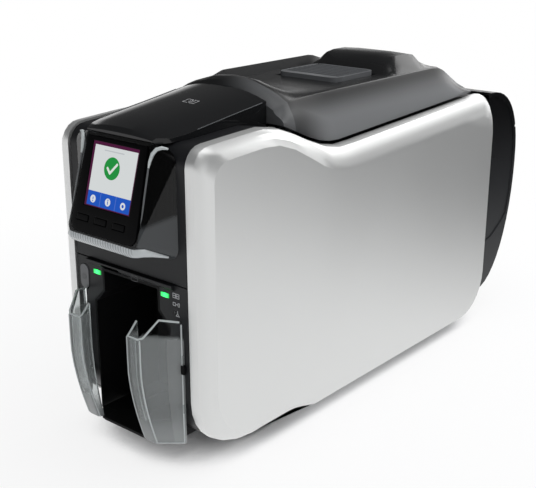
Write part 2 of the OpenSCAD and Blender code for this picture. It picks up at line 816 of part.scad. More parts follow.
module hopper_cover() {
    z0 = cover_split + 0.6;
    color("#141517") difference() {
        union() {
            difference() {
                intersection() {
                    side_extrude(-cover_half, cover_half) polygon(shroud_profile(0));
                    block(-far, far, shroud_y0, far, z0, far);
                }
                intersection() {
                    side_extrude(-cover_half + 2.2, cover_half - 2.2)
                        polygon(shroud_profile(2.2));
                    block(-far, far, shroud_y0 + 2, far, 0, far);
                }
            }
            for (s = [-1, 1]) {
                x0 = s > 0 ? cover_lug_out + 0.4 : -cover_lug_out - 6.4;
                rod(x0, x0 + 6, cover_pin_y, cover_pin_z, cover_lug_r - 0.2);
            }
        }
        for (s = [-1, 1]) {
            x0 = s > 0 ? cover_lug_in - 0.4 : -cover_lug_out - 0.4;
            block(x0, x0 + cover_lug_out - cover_lug_in + 0.8, cover_pin_y - cover_lug_r - 1.2,
                  far, 0, cover_pin_z + cover_lug_r + 1.2);
        }
        rod(-far, far, cover_pin_y, cover_pin_z, cover_pin_r + 0.05);
    }
}

module hopper_hinge_pin() {
    color("#b9bcc0")
        rod(-cover_lug_out - 7, cover_lug_out + 7, cover_pin_y, cover_pin_z, cover_pin_r);
}

module card_weight() {
    color("#3a3c40") difference() {
        union() {
            block(-27, 27, well_y0 + 3, well_y0 + well_l - 3, well_floor + 0.3, well_floor + 5);
            block(-8, 8, well_y0 + 45, well_y0 + 75, well_floor + 5, well_floor + 12);
        }
        block(-5, 5, well_y0 + 48, well_y0 + 72, well_floor + 6, well_floor + 13);
    }
}

module thickness_lever() {
    color("#2f6fb0") union() {
        block(lever_x - 1.6, lever_x + 1.6, lever_y, lever_y + 4, cover_split - 5, cover_split + 8);
        block(lever_x - 4, lever_x + 4, lever_y - 2, lever_y + 6,
              cover_split + 0.3, cover_split + 1.6);
        block(lever_x - 4, lever_x + 4, lever_y - 2, lever_y + 6,
              cover_split - 5, cover_split - 2.3);
    }
}

// ---- Output hopper ----

module output_bay() {
    color("#0c0c0e") difference() {
        front_extrude(core_front, liner_rear) mouth_outline(liner_wall - 0.05);
        front_extrude(core_front - 1, liner_rear - liner_wall) mouth_outline(0);
        block(-28, 28, liner_rear - liner_wall - 1, liner_rear + 1, path_z - 2.5, path_z + 3);
        // the lower front corner follows the front shell
        side_extrude(-far, far) difference() {
            window(core_front - 1, core_front + 30, 0, base_top + 20);
            polygon(outline(0, shell_inset));
        }
    }
}

tray_out = 12;

module output_tray() {
    color("#17181a") difference() {
        translate([0, 0, bay_floor]) linear_extrude(2.4) union() {
            translate([-bay_half + 1.5, core_front])
                square([2 * bay_half - 3, bay_depth - 6]);
            translate([-wing_inner + 1, core_front - tray_out])
                square([2 * wing_inner - 2, tray_out + 1]);
        }
        for (x = [-18, 0, 18]) block(x - 2, x + 2, core_front + 8, liner_rear - 14,
                                     bay_floor + 1.2, bay_floor + 5);
    }
}

function wing_shift(z) = wing_lean * pow(max(0, (82 - z) / (82 - wing_bottom)), 1.6);
function wing_ring(z) =
    let (s = wing_shift(z), t = wing_wall, yr = core_front, yf = wing_front + s,
         flange = 10 - 0.45 * s)
    [for (p = [[wing_inner, yf + flange], [wing_inner, yf + 2], [wing_inner + 2, yf],
               [wing_corner - 3, yf], [wing_corner, yf + 1.6], [wing_outer, yr],
               [wing_outer - 1.6 * t, yr], [wing_corner - 1.2 * t, yf + t + 1.2],
               [wing_corner - 3.4, yf + t], [wing_inner + t + 0.4, yf + t],
               [wing_inner + t, yf + t + 0.6], [wing_inner + t, yf + flange]])
        [p[0], p[1], z]];

module output_wing() {
    intersection() {
        loft(reversed([for (z = [wing_bottom, 26, 32, 40, 50, 60, 70, 82, wing_top + 14])
            wing_ring(z)]));
        side_extrude(0, 100) polygon([
            [wing_front - 1, 0], [wing_front - 1, wing_top], [wing_front + 3, wing_top + 2],
            [wing_front + 14, wing_top + 13], [core_front + 1, wing_top + 9],
            [core_front + 1, 0]]);
    }
    // pads that clip the wing to the front shell
    for (z = [46, 84]) block(wing_outer - 4, wing_outer, core_front - 2, core_front, z, z + 7);
}

module right_output_wing() {
    color([0.75, 0.8, 0.82, 0.4]) union() output_wing();
}

module left_output_wing() {
    color([0.75, 0.8, 0.82, 0.4]) mirror([1, 0, 0]) union() output_wing();
}

// ---- Lid ----

hump_front = lid_rear - 100;
hump_back = lid_rear - 70;
hump_rise = hump_z - lid_z;
ridge_rise = 8;
pad_z = lid_z + 3.4;
mid = (lid_front + lid_rear) / 2;
rear_lip = 10;

// Stations of the lid: Y, height at the shoulder, half width of the top, crown,
// rise of the hump, rise of the ridge along the left side
lid_stations = [
    [lid_front, lid_z - 4, lid_top_half + 2, collar_z - lid_z - 4, 0, 0],
    [lid_front + 4, lid_z - 1, lid_top_half + 3, collar_z - lid_z - 1, 0, 0],
    [lid_front + 9, lid_z, lid_top_half + 4, collar_z - lid_z, 0, 0],
    [lid_front + 16, lid_z, lid_top_half + 4, collar_z - lid_z, 0, 0],
    [lid_front + 23, lid_z, lid_top_half + 3, collar_z - lid_z - 2, 0, 0],
    [lid_front + 32, lid_z, lid_top_half + 2, collar_z - lid_z - 6.5, 0, 1],
    [lid_front + 42, lid_z, lid_top_half + 1, collar_z - lid_z - 10.5, 0, 4],
    [lid_front + 54, lid_z, lid_top_half, 1, 0, ridge_rise],
    [lid_front + 66, lid_z, lid_top_half, 0, 0, ridge_rise],
    [lid_front + 90, lid_z, lid_top_half, 0, 0, ridge_rise],
    [mid, lid_z, lid_top_half, 0, 0, ridge_rise],
    [hump_front - 10, lid_z, lid_top_half, 0, 0, ridge_rise],
    [hump_front - 4, lid_z, lid_top_half, 0, hump_rise * 0.45, ridge_rise],
    [hump_front + 3, lid_z, lid_top_half, 0, hump_rise * 0.88, ridge_rise - 1],
    [hump_front + 13, lid_z, lid_top_half, 0, hump_rise, 4],
    [hump_back, lid_z, lid_top_half, 0, hump_rise, 0],
    [hump_back + 10, lid_z, lid_top_half, 0, hump_rise * 0.86, 0],
    [hump_back + 20, lid_z, lid_top_half, 0, hump_rise * 0.3, 0],
    [lid_rear - 40, lid_z - 0.8, lid_top_half, 0, 0, 0],
    [lid_rear - 30, lid_z - 4.5, lid_top_half, 0, 0, 0],
    [lid_rear - 20, lid_z - 11, lid_top_half + 1, 0, 0, 0],
    [lid_rear - 10, lid_z - 18, lid_top_half + 3, 0, 0, 0],
    [lid_rear - 4, lid_z - 21.5, lid_top_half + 5, 0, 0, 0],
    [lid_rear, lid_z - 24, lid_top_half + 6, 0, 0, 0]];

// One half of a section, from the lower edge to the middle
function lid_half_section(s, g, ridge) =
    let (zb = top_edge(s[0]) + lid_gap, b = lid_half - g, t = s[2] - g,
         z2 = s[1] - g, crown = s[3], hump = g > 0 ? 0 : s[4],
         f = min(1, (z2 - zb) / 8), z1 = zb + 2 * f)
    concat([[b, zb], [b, z1]],
           [for (i = [1:5]) let (u = i / 6)
               [lerp(b, t + 3, u) + 1.4 * f * sin(180 * u), lerp(z1, z2 - 3.4 * f, u)]],
           ridge > 0 ? [[t + 5.2, z2 + ridge - 1], [t + 2.6, z2 + ridge]]
                     : [[t + 3, z2 - 2.8 * f], [t + 2, z2 - f]],
           [[t, z2], [t * 0.88, z2 + hump * 0.42 + crown * 0.24],
            [t * 0.72, z2 + hump * 0.94 + crown * 0.48],
            [t * 0.36, z2 + hump + crown * 0.88],
            [0, z2 + hump + crown]]);

function lid_section(s, g) =
    let (right = lid_half_section(s, g, 0), left = lid_half_section(s, g, g > 0 ? 0 : s[5]),
         n = len(right),
         y = s[0] == lid_front ? s[0] + g : s[0])
    concat([for (p = right) [p[0], y, p[1]]],
           [for (i = [n - 2:-1:0]) [-left[i][0], y, left[i][1]]]);

// An open shell: outer and inner rings that run from one lower edge to the other,
// closed at both ends and along the rim between the lower edges
module open_shell(outer, inner) {
    n = len(outer[0]);
    mo = len(outer);
    mi = len(inner);
    base = mo * n;
    e = n - 1;
    pts = [for (r = concat(outer, inner)) each r];
    skin = [for (i = [0:mo - 2]) for (j = [0:n - 2])
        each [[i * n + j, i * n + j + 1, (i + 1) * n + j + 1],
              [i * n + j, (i + 1) * n + j + 1, (i + 1) * n + j]]];
    lining = [for (i = [0:mi - 2]) for (j = [0:n - 2]) let (p = base + i * n + j, q = p + n)
        each [[p, q + 1, p + 1], [p, q, q + 1]]];
    rim = [for (i = [0:mi - 2]) let (o = i * n, p = base + i * n)
        each [[o, o + n, p + n], [o, p + n, p],
              [o + e, p + n + e, o + n + e], [o + e, p + e, p + n + e]]];
    ends = [[for (j = [e:-1:0]) j], [for (j = [0:e]) (mo - 1) * n + j],
            [for (j = [0:e]) base + j], [for (j = [e:-1:0]) base + (mi - 1) * n + j]];
    c = (mi - 1) * n;
    lips = concat([[0, base, base + e], [0, base + e, e], [c, c + n, base + c],
                   [base + c, c + n, c + n + e], [base + c, c + n + e, base + c + e],
                   [base + c + e, c + n + e, c + e]],
                  [for (i = [mi:mo - 2]) each [[i * n, (i + 1) * n, (i + 1) * n + e],
                                               [i * n, (i + 1) * n + e, i * n + e]]]);
    polyhedron(points = pts, faces = concat(skin, lining, rim, ends, lips), convexity = 10);
}

module lid_shell() {
    color("#26282b") difference() {
        open_shell([for (s = lid_stations) lid_section(s, 0)],
                   [for (s = lid_stations) if (s[0] <= lid_rear - rear_lip)
                       lid_section(s, lid_wall)]);
        block(-pad_w / 2 - pad_gap, pad_w / 2 + pad_gap, pad_y - pad_gap,
              pad_y + pad_l + pad_gap, lid_z - 10, lid_z + 1);
        for (s = [-1, 1]) {
            x0 = s > 0 ? lug_in - 7 : -lug_out - 1;
            block(x0, x0 + lug_out - lug_in + 8, hinge_y - knuckle_r - 2, far,
                  0, hinge_z + knuckle_r + 1.5);
        }
    }
}

frame_z = top_edge(0) + lid_gap + 8;
frame_t = 3;
frame_half = 49;
stem_x = 20;
stem_r = 3;
stem_y = pad_y + pad_l / 2;
latch_y = lid_front + 21;
latch_z = frame_z + 7;
latch_r = 2;
latch_x = 34;
post_y = [lid_front + 64, lid_rear - 60];

module lid_frame() {
    color("#3a3c40") difference() {
        union() {
            block(-frame_half + 5, frame_half - 5, latch_y - 6, lid_rear - 22,
                  frame_z, frame_z + frame_t);
            for (x = [-36, 36], y = post_y)
                translate([x, y, frame_z]) cylinder(r = 4, h = lid_z - lid_wall - frame_z);
            for (s = [-1, 1]) {
                x0 = s > 0 ? lug_in - 6.4 : -lug_in + 0.4;
                rod(x0, x0 + 6, hinge_y, hinge_z, knuckle_r);
                block(x0, x0 + 6, lid_rear - 26, hinge_y, hinge_z - 2, hinge_z + 2);
                block(x0, x0 + 6, lid_rear - 26, lid_rear - 22, hinge_z - 2, frame_z + frame_t);
                block(s * (latch_x + 6) - 2, s * (latch_x + 6) + 2, latch_y - 4, latch_y + 4,
                      frame_z, latch_z + 4);
            }
            for (x = [-stem_x, stem_x]) translate([x, stem_y, frame_z - 5])
                cylinder(r = stem_r + 2.5, h = 5 + frame_t);
        }
        for (x = [-stem_x, stem_x])
            translate([x, stem_y, frame_z - 20]) cylinder(r = stem_r + 0.05, h = 60);
        rod(-far, far, latch_y, latch_z, latch_r + 0.05);
        rod(-far, far, hinge_y, hinge_z, hinge_pin_r + 0.05);
        for (s = [-1, 1]) block(s * latch_x - 4, s * latch_x + 4, latch_y - 12, latch_y + 7,
                                frame_z - 1, frame_z + frame_t + 1);
        block(-24, 24, latch_y + 14, pad_y - 6, frame_z - 1, frame_z + frame_t + 1);
    }
}

module release_pad() {
    rib_w = pad_l / (pad_ribs + 1.5);
    color("#303236") union() {
        difference() {
            translate([0, 0, lid_z - lid_wall - 4]) linear_extrude(pad_z - lid_z + lid_wall + 4)
                rounded_rect(-pad_w / 2, pad_w / 2, pad_y, pad_y + pad_l, 9);
            translate([0, 0, lid_z - lid_wall - 5]) linear_extrude(pad_z - lid_z + lid_wall + 2.5)
                rounded_rect(-pad_w / 2 + 2.5, pad_w / 2 - 2.5, pad_y + 2.5,
                             pad_y + pad_l - 2.5, 7);
            // sloping troughs between the ribs
            for (i = [0:pad_ribs - 1])
                side_extrude(-pad_w / 2 + 3.5, pad_w / 2 - 3.5)
                    polygon([[pad_y + 7 + i * rib_w, pad_z + 0.1],
                             [pad_y + 6.4 + (i + 1) * rib_w, pad_z - 1.1],
                             [pad_y + 7 + (i + 1) * rib_w, pad_z + 0.1]]);
        }
        block(-pad_w / 2 - 3, pad_w / 2 + 3, pad_y + 12, pad_y + pad_l - 12,
              lid_z - lid_wall - 3, lid_z - lid_wall - 0.3);
        for (x = [-stem_x, stem_x])
            translate([x, stem_y, frame_z - 3]) cylinder(r = stem_r, h = lid_z - frame_z);
    }
}

hook_tip = 1.2;

module latch_bar() {
    hook_z = top_edge(deck_front) - shell_inset - shell_wall - 0.5;
    color("#8d9095") union() {
        rod(-latch_x - 8.5, latch_x + 8.5, latch_y, latch_z, latch_r);
        for (x = [-latch_x, latch_x]) side_extrude(x - 3, x + 3) polygon([
            [latch_y - 3, latch_z + 3], [latch_y + 3, latch_z + 3], [latch_y + 3, latch_z - 4],
            [deck_front + 5, hook_z + 3], [deck_front + 5, hook_z - 3.5],
            [deck_front - hook_tip, hook_z - 1.2], [deck_front - hook_tip, hook_z],
            [deck_front + 0.8, hook_z], [deck_front + 0.8, hook_z + 3],
            [latch_y - 3, latch_z - 2]]);
    }
}

// ---- Print mechanism ----

head_y = -20;
head_half = 29;
roller_z = path_z - roller_r;
feed_y = well_y0 - 13;
cleaning_y = feed_y - 30;
transport_y = 50;
exit_y = liner_rear + 12;
plate_front = liner_rear + 2;
plate_rear = well_y0 - 4;
chassis_floor = 18;
plate_top = 197;
pulley_x0 = -chassis_half - 1 - pulley_w;
reduction_r = 15;
motor_y = transport_y;
motor_z = 62;
motor_pulley_r = 5;
motor_half = 17.5;
spool_in_y = head_y - 64;
spool_out_y = head_y + 64;
spool_end = 40;

module printhead_bracket() {
    color("#a9adb2") difference() {
        union() {
            block(-head_half - 2, head_half + 2, head_y - 7, head_y + 7, path_z + 8, path_z + 20);
            for (s = [-1, 1]) block(s * (head_half - 2) - 4, s * (head_half - 2) + 4,
                                    head_y - 6, head_y + 6, path_z + 20, frame_z);
            block(-head_half - 2, head_half + 2, head_y - 10, head_y + 10, frame_z - 3, frame_z);
        }
        rod(-far, far, head_y, path_z + 15, 2.5);
    }
}

module printhead() {
    color("#d9dadb") union() {
        block(-head_half, head_half, head_y - 6, head_y + 6, path_z + 3, path_z + 8);
        block(-head_half, head_half, head_y - 3, head_y + 3, path_z + 1.6, path_z + 3);
    }
}

module chassis_plate(s) {
    x0 = s > 0 ? chassis_half - chassis_t : -chassis_half;
    difference() {
        side_extrude(x0, x0 + chassis_t) difference() {
            window(plate_front, plate_rear, chassis_floor, plate_top);
            window(plate_front + 18, head_y - 30, chassis_floor + 45, roller_z - 24);
            window(transport_y + 34, plate_rear - 18, chassis_floor + 45, roller_z - 24);
        }
        for (y = [feed_y, transport_y, head_y, exit_y])
            rod(x0 - 1, x0 + chassis_t + 1, y, roller_z, shaft_r + shaft_gap);
        rod(x0 - 1, x0 + chassis_t + 1, cleaning_y, path_z + roller_r + 0.9,
            shaft_r + shaft_gap);
        rod(x0 - 1, x0 + chassis_t + 1, motor_y, motor_z, 2.5 + shaft_gap);
    }
}

module chassis() {
    color("#aeb2b6") union() {
        for (s = [-1, 1]) chassis_plate(s);
        block(-chassis_half, chassis_half, plate_front, plate_rear,
              chassis_floor, chassis_floor + chassis_t);
        for (y = [plate_front + 6, plate_rear - 6])
            rod(-chassis_half + 1, chassis_half - 1, y, 96, 3);
    }
}

module shaft_with_rubber(y, z, x0, x1) {
    union() {
        rod(x0, x1, y, z, shaft_r);
        rod(-roller_l / 2, roller_l / 2, y, z, roller_r);
    }
}

module driven_roller(y) {
    color("#303134") shaft_with_rubber(y, roller_z, pulley_x0 - 0.5, chassis_half + 1.5);
}

module shaft_pulley(y) {
    color("#d8d4c6") difference() {
        union() {
            rod(pulley_x0, pulley_x0 + pulley_w, y, roller_z, pulley_r);
            rod(pulley_x0 - 0.01, pulley_x0 + 0.7, y, roller_z, pulley_r + belt_t + 0.9);
        }
        rod(pulley_x0 - 1, pulley_x0 + pulley_w + 1, y, roller_z, shaft_r);
    }
}

module feed_roller() { driven_roller(feed_y); }

module feed_pulley() { shaft_pulley(feed_y); }

module transport_roller() {
    color("#303134")
        shaft_with_rubber(transport_y, roller_z, pulley_x0 - 0.5, chassis_half + 7);
}

module platen_roller() { driven_roller(head_y); }

module platen_pulley() { shaft_pulley(head_y); }

module exit_roller() { driven_roller(exit_y); }

module exit_pulley() { shaft_pulley(exit_y); }

module cleaning_roller() {
    color("#7fb2d9") shaft_with_rubber(cleaning_y, path_z + roller_r + 0.9,
                                       -chassis_half - 0.8, chassis_half + 0.8);
}

module transport_pulley() {
    color("#d8d4c6") union() {
        shaft_pulley(transport_y);
        difference() {
            union() {
                rod(chassis_half + 1, chassis_half + 6, transport_y, roller_z, reduction_r);
                rod(chassis_half + 6, chassis_half + 6.6, transport_y, roller_z,
                    reduction_r + belt_t + 0.9);
            }
            rod(chassis_half, chassis_half + 8, transport_y, roller_z, shaft_r);
        }
    }
}

module stadium(grow) {
    r = pulley_r + grow;
    union() {
        translate([exit_y, roller_z - r]) square([feed_y - exit_y, 2 * r]);
        translate([exit_y, roller_z]) circle(r);
        translate([feed_y, roller_z]) circle(r);
    }
}

module drive_belt() {
    color("#1a1a1b") side_extrude(pulley_x0 + 1, pulley_x0 + pulley_w - 0.4) difference() {
        stadium(belt_gap + belt_t);
        stadium(belt_gap);
    }
}

module motor_loop(grow) {
    hull() {
        $fn = 32;
        translate([motor_y, motor_z]) circle(motor_pulley_r + grow);
        translate([transport_y, roller_z]) circle(reduction_r + grow);
    }
}

module motor_belt() {
    color("#1a1a1b") side_extrude(chassis_half + 1.6, chassis_half + 5.4) difference() {
        motor_loop(belt_gap + belt_t);
        motor_loop(belt_gap);
    }
}

module drive_motor() {
    x1 = chassis_half - chassis_t;
    color("#5a5d61") union() {
        block(x1 - 30, x1 - 26, motor_y - motor_half, motor_y + motor_half,
              motor_z - motor_half, motor_z + motor_half);
        block(x1 - 26, x1 - 4, motor_y - motor_half + 1, motor_y + motor_half - 1,
              motor_z - motor_half + 1, motor_z + motor_half - 1);
        block(x1 - 4, x1, motor_y - motor_half, motor_y + motor_half,
              motor_z - motor_half, motor_z + motor_half);
    }
}

module motor_pulley() {
    color("#c9a24a") union() {
        rod(chassis_half - chassis_t + 0.1, chassis_half + 7, motor_y, motor_z, 2.5);
        rod(chassis_half + 1, chassis_half + 6, motor_y, motor_z, motor_pulley_r);
        rod(chassis_half + 6, chassis_half + 6.6, motor_y, motor_z,
            motor_pulley_r + belt_t + 0.9);
    }
}

// ---- Ribbon ----

module ribbon_cartridge() {
    color("#44474b") difference() {
        union() {
            for (s = [-1, 1]) {
                x0 = s > 0 ? spool_end : -spool_end - 2.5;
                side_extrude(x0, x0 + 2.5) union() {
                    window(spool_in_y - 22, spool_out_y + 18, spool_z - 6, plate_top + 3);
                    translate([spool_in_y, spool_z]) circle(12);
                    translate([spool_out_y, spool_z]) circle(12);
                }
                block(s > 0 ? spool_end : -chassis_half, s > 0 ? chassis_half : -spool_end,
                      spool_in_y - 22, spool_out_y + 18, plate_top, plate_top + 3);
            }
            rod(-spool_end, spool_end, spool_in_y - 19, plate_top - 1, 3);
            rod(-spool_end, spool_end, spool_out_y + 14.5, plate_top - 1, 3);
        }
        for (y = [spool_in_y, spool_out_y])
            rod(-far, far, y, spool_z, 4 + shaft_gap);
    }
}

module spool(y, r) {
    union() {
        rod(-spool_end - 3.5, spool_end + 3.5, y, spool_z, 4);
        rod(-spool_end + 1, spool_end - 1, y, spool_z, core_r);
        rod(-30, 30, y, spool_z, r);
    }
}

module supply_spool() {
    color("#6d2f4c") spool(spool_in_y, roll_r);
}

module takeup_spool() {
    color("#2c2c30") spool(spool_out_y, core_r + 1.5);
}

film_t = 0.3;

// Point where a line from p touches the circle round c, on its lower side
function touch_low(c, r, p, side) =
    let (d = norm(p - c), base = atan2(p[1] - c[1], p[0] - c[0]), a = acos(r / d))
    c + r * [cos(base - side * a), sin(base - side * a)];

module ribbon_film() {
    c_in = [spool_in_y, spool_z];
    c_out = [spool_out_y, spool_z];
    low_in = [head_y - 6.5, path_z + 0.9];
    low_out = [head_y + 6.5, path_z + 0.9];
    up = [0, film_t];
    p_in = touch_low(c_in, roll_r + 0.5, low_in, 1);
    p_out = touch_low(c_out, core_r + 2, low_out, -1);
    color("#7a3450") side_extrude(-head_half, head_half)
        polygon([p_in, low_in, low_out, p_out, p_out + up, low_out + up, low_in + up, p_in + up]);
}

// ---- Board and card guide ----

board_z = 28;

module main_board() {
    color("#1f6b3a") union() {
        block(-42, 42, plate_front + 14, plate_rear - 14, board_z, board_z + 1.6);
        for (x = [-36, 36], y = [plate_front + 22, plate_rear - 22])
            translate([x, y, chassis_floor + chassis_t])
                cylinder(r = 3, h = board_z - chassis_floor - chassis_t);
        block(-14, 4, -10, 8, board_z + 1.6, board_z + 3.4);
        block(14, 26, -60, -48, board_z + 1.6, board_z + 3);
        block(-32, -12, 70, 80, board_z + 1.6, board_z + 9);
        for (i = [0:3]) translate([20, 30 + 12 * i, board_z + 1.6])
            cylinder(r = 4.5, h = 11);
    }
}

module card_guide() {
    color("#55585c") difference() {
        block(-chassis_half + chassis_t, chassis_half - chassis_t, plate_front + 2,
              plate_rear - 2, path_z - 2.8, path_z - 1.4);
        for (y = [feed_y, transport_y, head_y, exit_y])
            block(-roller_l / 2 - 1, roller_l / 2 + 1, y - roller_r - 0.8, y + roller_r + 0.8,
                  path_z - 4, path_z);
    }
}

base_tray();
rubber_feet();
left_side_panel();
right_side_panel();
upper_fascia();
lower_fascia();
output_bay();
output_tray();
left_output_wing();
right_output_wing();
status_light_guides();
power_button();
clear_surround();
display_bezel();
screen_module();
left_menu_button();
middle_menu_button();
right_menu_button();
front_hood();
bay_frame();
rear_cover();
rear_shroud();
hopper_cover();
hopper_hinge_pin();
card_weight();
thickness_lever();
power_inlet();
usb_port();
network_port();
lid_shell();
lid_frame();
release_pad();
latch_bar();
lid_hinge_pins();
printhead_bracket();
printhead();
chassis();
ribbon_cartridge();
supply_spool();
takeup_spool();
ribbon_film();
feed_roller();
feed_pulley();
cleaning_roller();
transport_roller();
transport_pulley();
platen_roller();
platen_pulley();
exit_roller();
exit_pulley();
drive_belt();
drive_motor();
motor_pulley();
motor_belt();
main_board();
card_guide();
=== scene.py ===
import math
import bmesh
import bpy
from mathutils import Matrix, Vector
from mathutils.bvhtree import BVHTree


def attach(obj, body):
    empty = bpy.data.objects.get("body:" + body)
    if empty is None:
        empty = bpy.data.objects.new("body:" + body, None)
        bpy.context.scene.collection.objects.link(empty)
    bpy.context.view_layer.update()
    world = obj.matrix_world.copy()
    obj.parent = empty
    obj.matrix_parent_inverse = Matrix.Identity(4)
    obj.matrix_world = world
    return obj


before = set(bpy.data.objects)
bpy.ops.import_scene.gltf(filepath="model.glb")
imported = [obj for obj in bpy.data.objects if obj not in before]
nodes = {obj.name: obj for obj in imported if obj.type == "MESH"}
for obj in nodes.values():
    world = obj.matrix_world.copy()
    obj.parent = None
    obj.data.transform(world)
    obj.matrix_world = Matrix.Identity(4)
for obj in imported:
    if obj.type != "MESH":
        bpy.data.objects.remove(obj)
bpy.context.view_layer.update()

print("frame loaded:", len(nodes), "nodes")


class Wire:
    # a socket that takes part in arithmetic
    def __init__(self, paint, socket):
        self.paint = paint
        self.socket = socket

    def __add__(self, other):
        return self.paint.calc("ADD", self, other)

    def __radd__(self, other):
        return self.paint.calc("ADD", other, self)

    def __sub__(self, other):
        return self.paint.calc("SUBTRACT", self, other)

    def __rsub__(self, other):
        return self.paint.calc("SUBTRACT", other, self)

    def __mul__(self, other):
        return self.paint.calc("MULTIPLY", self, other)

    def __rmul__(self, other):
        return self.paint.calc("MULTIPLY", other, self)

    def __truediv__(self, other):
        return self.paint.calc("DIVIDE", self, other)

    def __rtruediv__(self, other):
        return self.paint.calc("DIVIDE", other, self)

    def __lt__(self, other):
        return self.paint.calc("LESS_THAN", self, other)

    def __gt__(self, other):
        return self.paint.calc("GREATER_THAN", self, other)

    def __abs__(self):
        return self.paint.calc("ABSOLUTE", self, 0.0)

    def least(self, other):
        return self.paint.calc("MINIMUM", self, other)

    def most(self, other):
        return self.paint.calc("MAXIMUM", self, other)

    def root(self):
        return self.paint.calc("SQRT", self, 0.0)


class Paint:
    # a material, or the world, built node by node
    def __init__(self, name, world=False):
        self.made = bpy.data.worlds.new(name) if world else bpy.data.materials.new(name)
        self.last = "ShaderNodeOutputWorld" if world else "ShaderNodeOutputMaterial"
        self.made.use_nodes = True
        self.tree = self.made.node_tree
        self.tree.nodes.clear()

    def node(self, kind, settings=None, inputs=None, output=0):
        made = self.tree.nodes.new(kind)
        for key, value in (settings or {}).items():
            if key == "stops":
                ramp = made.color_ramp
                for i, (place, colour) in enumerate(value):
                    stop = ramp.elements[i] if i < 2 else ramp.elements.new(place)
                    stop.position = place
                    stop.color = colour
            else:
                setattr(made, key, value)
        for key, value in (inputs or {}).items():
            if isinstance(value, Wire):
                self.tree.links.new(value.socket, made.inputs[key])
            else:
                made.inputs[key].default_value = value
        return Wire(self, made.outputs[output])

    def calc(self, operation, a, b):
        return self.node("ShaderNodeMath", {"operation": operation}, {0: a, 1: b})

    def place(self, stretch=(1, 1, 1)):
        spot = self.node("ShaderNodeTexCoord", output="Object")
        if stretch == (1, 1, 1):
            return spot
        return self.node("ShaderNodeVectorMath", {"operation": "MULTIPLY"}, {0: spot, 1: stretch})

    def axis(self, letter, source="Object"):
        spot = self.node("ShaderNodeTexCoord", output=source)
        return self.node("ShaderNodeSeparateXYZ", None, {0: spot}, letter)

    def noise(self, scale, detail=2.0, stretch=(1, 1, 1)):
        return self.node("ShaderNodeTexNoise", None,
                         {"Vector": self.place(stretch), "Scale": scale, "Detail": detail})

    def ease(self, value, low, high):
        # 0 under low, 1 over high, smooth between
        return self.node("ShaderNodeMapRange", {"interpolation_type": "SMOOTHSTEP"},
                         {0: value, 1: low, 2: high})

    def blend(self, amount, first, second):
        # colours are wires or plain triples
        first, second = [c if isinstance(c, Wire) else (*c, 1.0) for c in (first, second)]
        return self.node("ShaderNodeMix", {"data_type": "RGBA"},
                         {0: amount, 6: first, 7: second}, 2)

    def vary(self, amount, colour, low, high):
        # the colour times low where the amount is 0, times high where it is 1
        return self.blend(amount, shade(colour, low), shade(colour, high))

    def bump(self, height, strength, distance):
        return self.node("ShaderNodeBump", None,
                         {"Strength": strength, "Distance": distance, "Height": height})

    def shader(self, sockets):
        return self.node("ShaderNodeBsdfPrincipled", None, sockets)

    def join(self, amount, first, second):
        return self.node("ShaderNodeMixShader", None, {0: amount, 1: first, 2: second})

    def rays(self, *kinds):
        # 1 for a ray of any of these kinds
        return merged([self.node("ShaderNodeLightPath", output=kind) for kind in kinds])

    def close(self, shader):
        end = self.tree.nodes.new(self.last)
        self.tree.links.new(shader.socket, end.inputs[0])
        return self.made


def merged(masks):
    # the highest of several masks
    whole = masks[0]
    for mask in masks[1:]:
        whole = whole.most(mask)
    return whole


def shade(colour, factor):
    return tuple(min(1.0, c * factor) for c in colour)


silverLook = {"colour": (0.63, 0.635, 0.63), "metal": 0.70, "roughness": 0.40, "flake": 2600.0}


def silverPaint():
    look = silverLook
    p = Paint("silver_paint")
    flake = p.noise(look["flake"], 1.0)
    cloud = p.noise(5.0, 3.0)
    return p.close(p.shader({
        "Base Color": p.vary(flake * 0.6 + cloud * 0.4, look["colour"], 0.95, 1.05),
        "Metallic": look["metal"],
        "Roughness": look["roughness"] + (cloud - 0.5) * 0.05 + (flake - 0.5) * 0.08,
        "Normal": p.bump(flake, 0.04, 0.0002)}))


def mouldedPlastic(name, colour, roughness, grain=1400.0, depth=0.18, index=1.36):
    p = Paint(name)
    fine = p.noise(grain, 3.0)
    cloud = p.noise(11.0, 3.0)
    return p.close(p.shader({
        "Base Color": p.vary(cloud, colour, 0.84, 1.16),
        "Roughness": roughness + (cloud - 0.5) * 0.1 + (fine - 0.5) * 0.08,
        "IOR": index, "Normal": p.bump(fine, depth, 0.0003)}))


# fades are heights for Z, depths for Y, and the normal's rise for flat and crowned; the fade of
# the sides to the dark shoulder and the dark crown are painted shade, the paler band a painted
# sheen
lidLook = {"side": (0.175, 0.179, 0.184), "shoulder": (0.010, 0.0103, 0.011),
           "sideFade": (0.2310, 0.2500), "frontFade": (-0.092, -0.050), "frontShare": 0.88,
           "crown": (0.008, 0.0082, 0.0085), "crowned": (0.50, 0.72),
           "top": (0.011, 0.0113, 0.0118), "flat": (0.62, 0.88), "level": (0.2505, 0.2530),
           "topStart": (-0.098, -0.092), "topRough": 0.22, "sideRough": 0.38,
           "collarSheen": (0.085, 0.087, 0.090), "collarSheenEdge": (-0.1000, -0.0985),
           "collarSheenAcross": (-0.01, 0.035), "haze": (0.03, 0.03, 0.032), "index": 1.32}


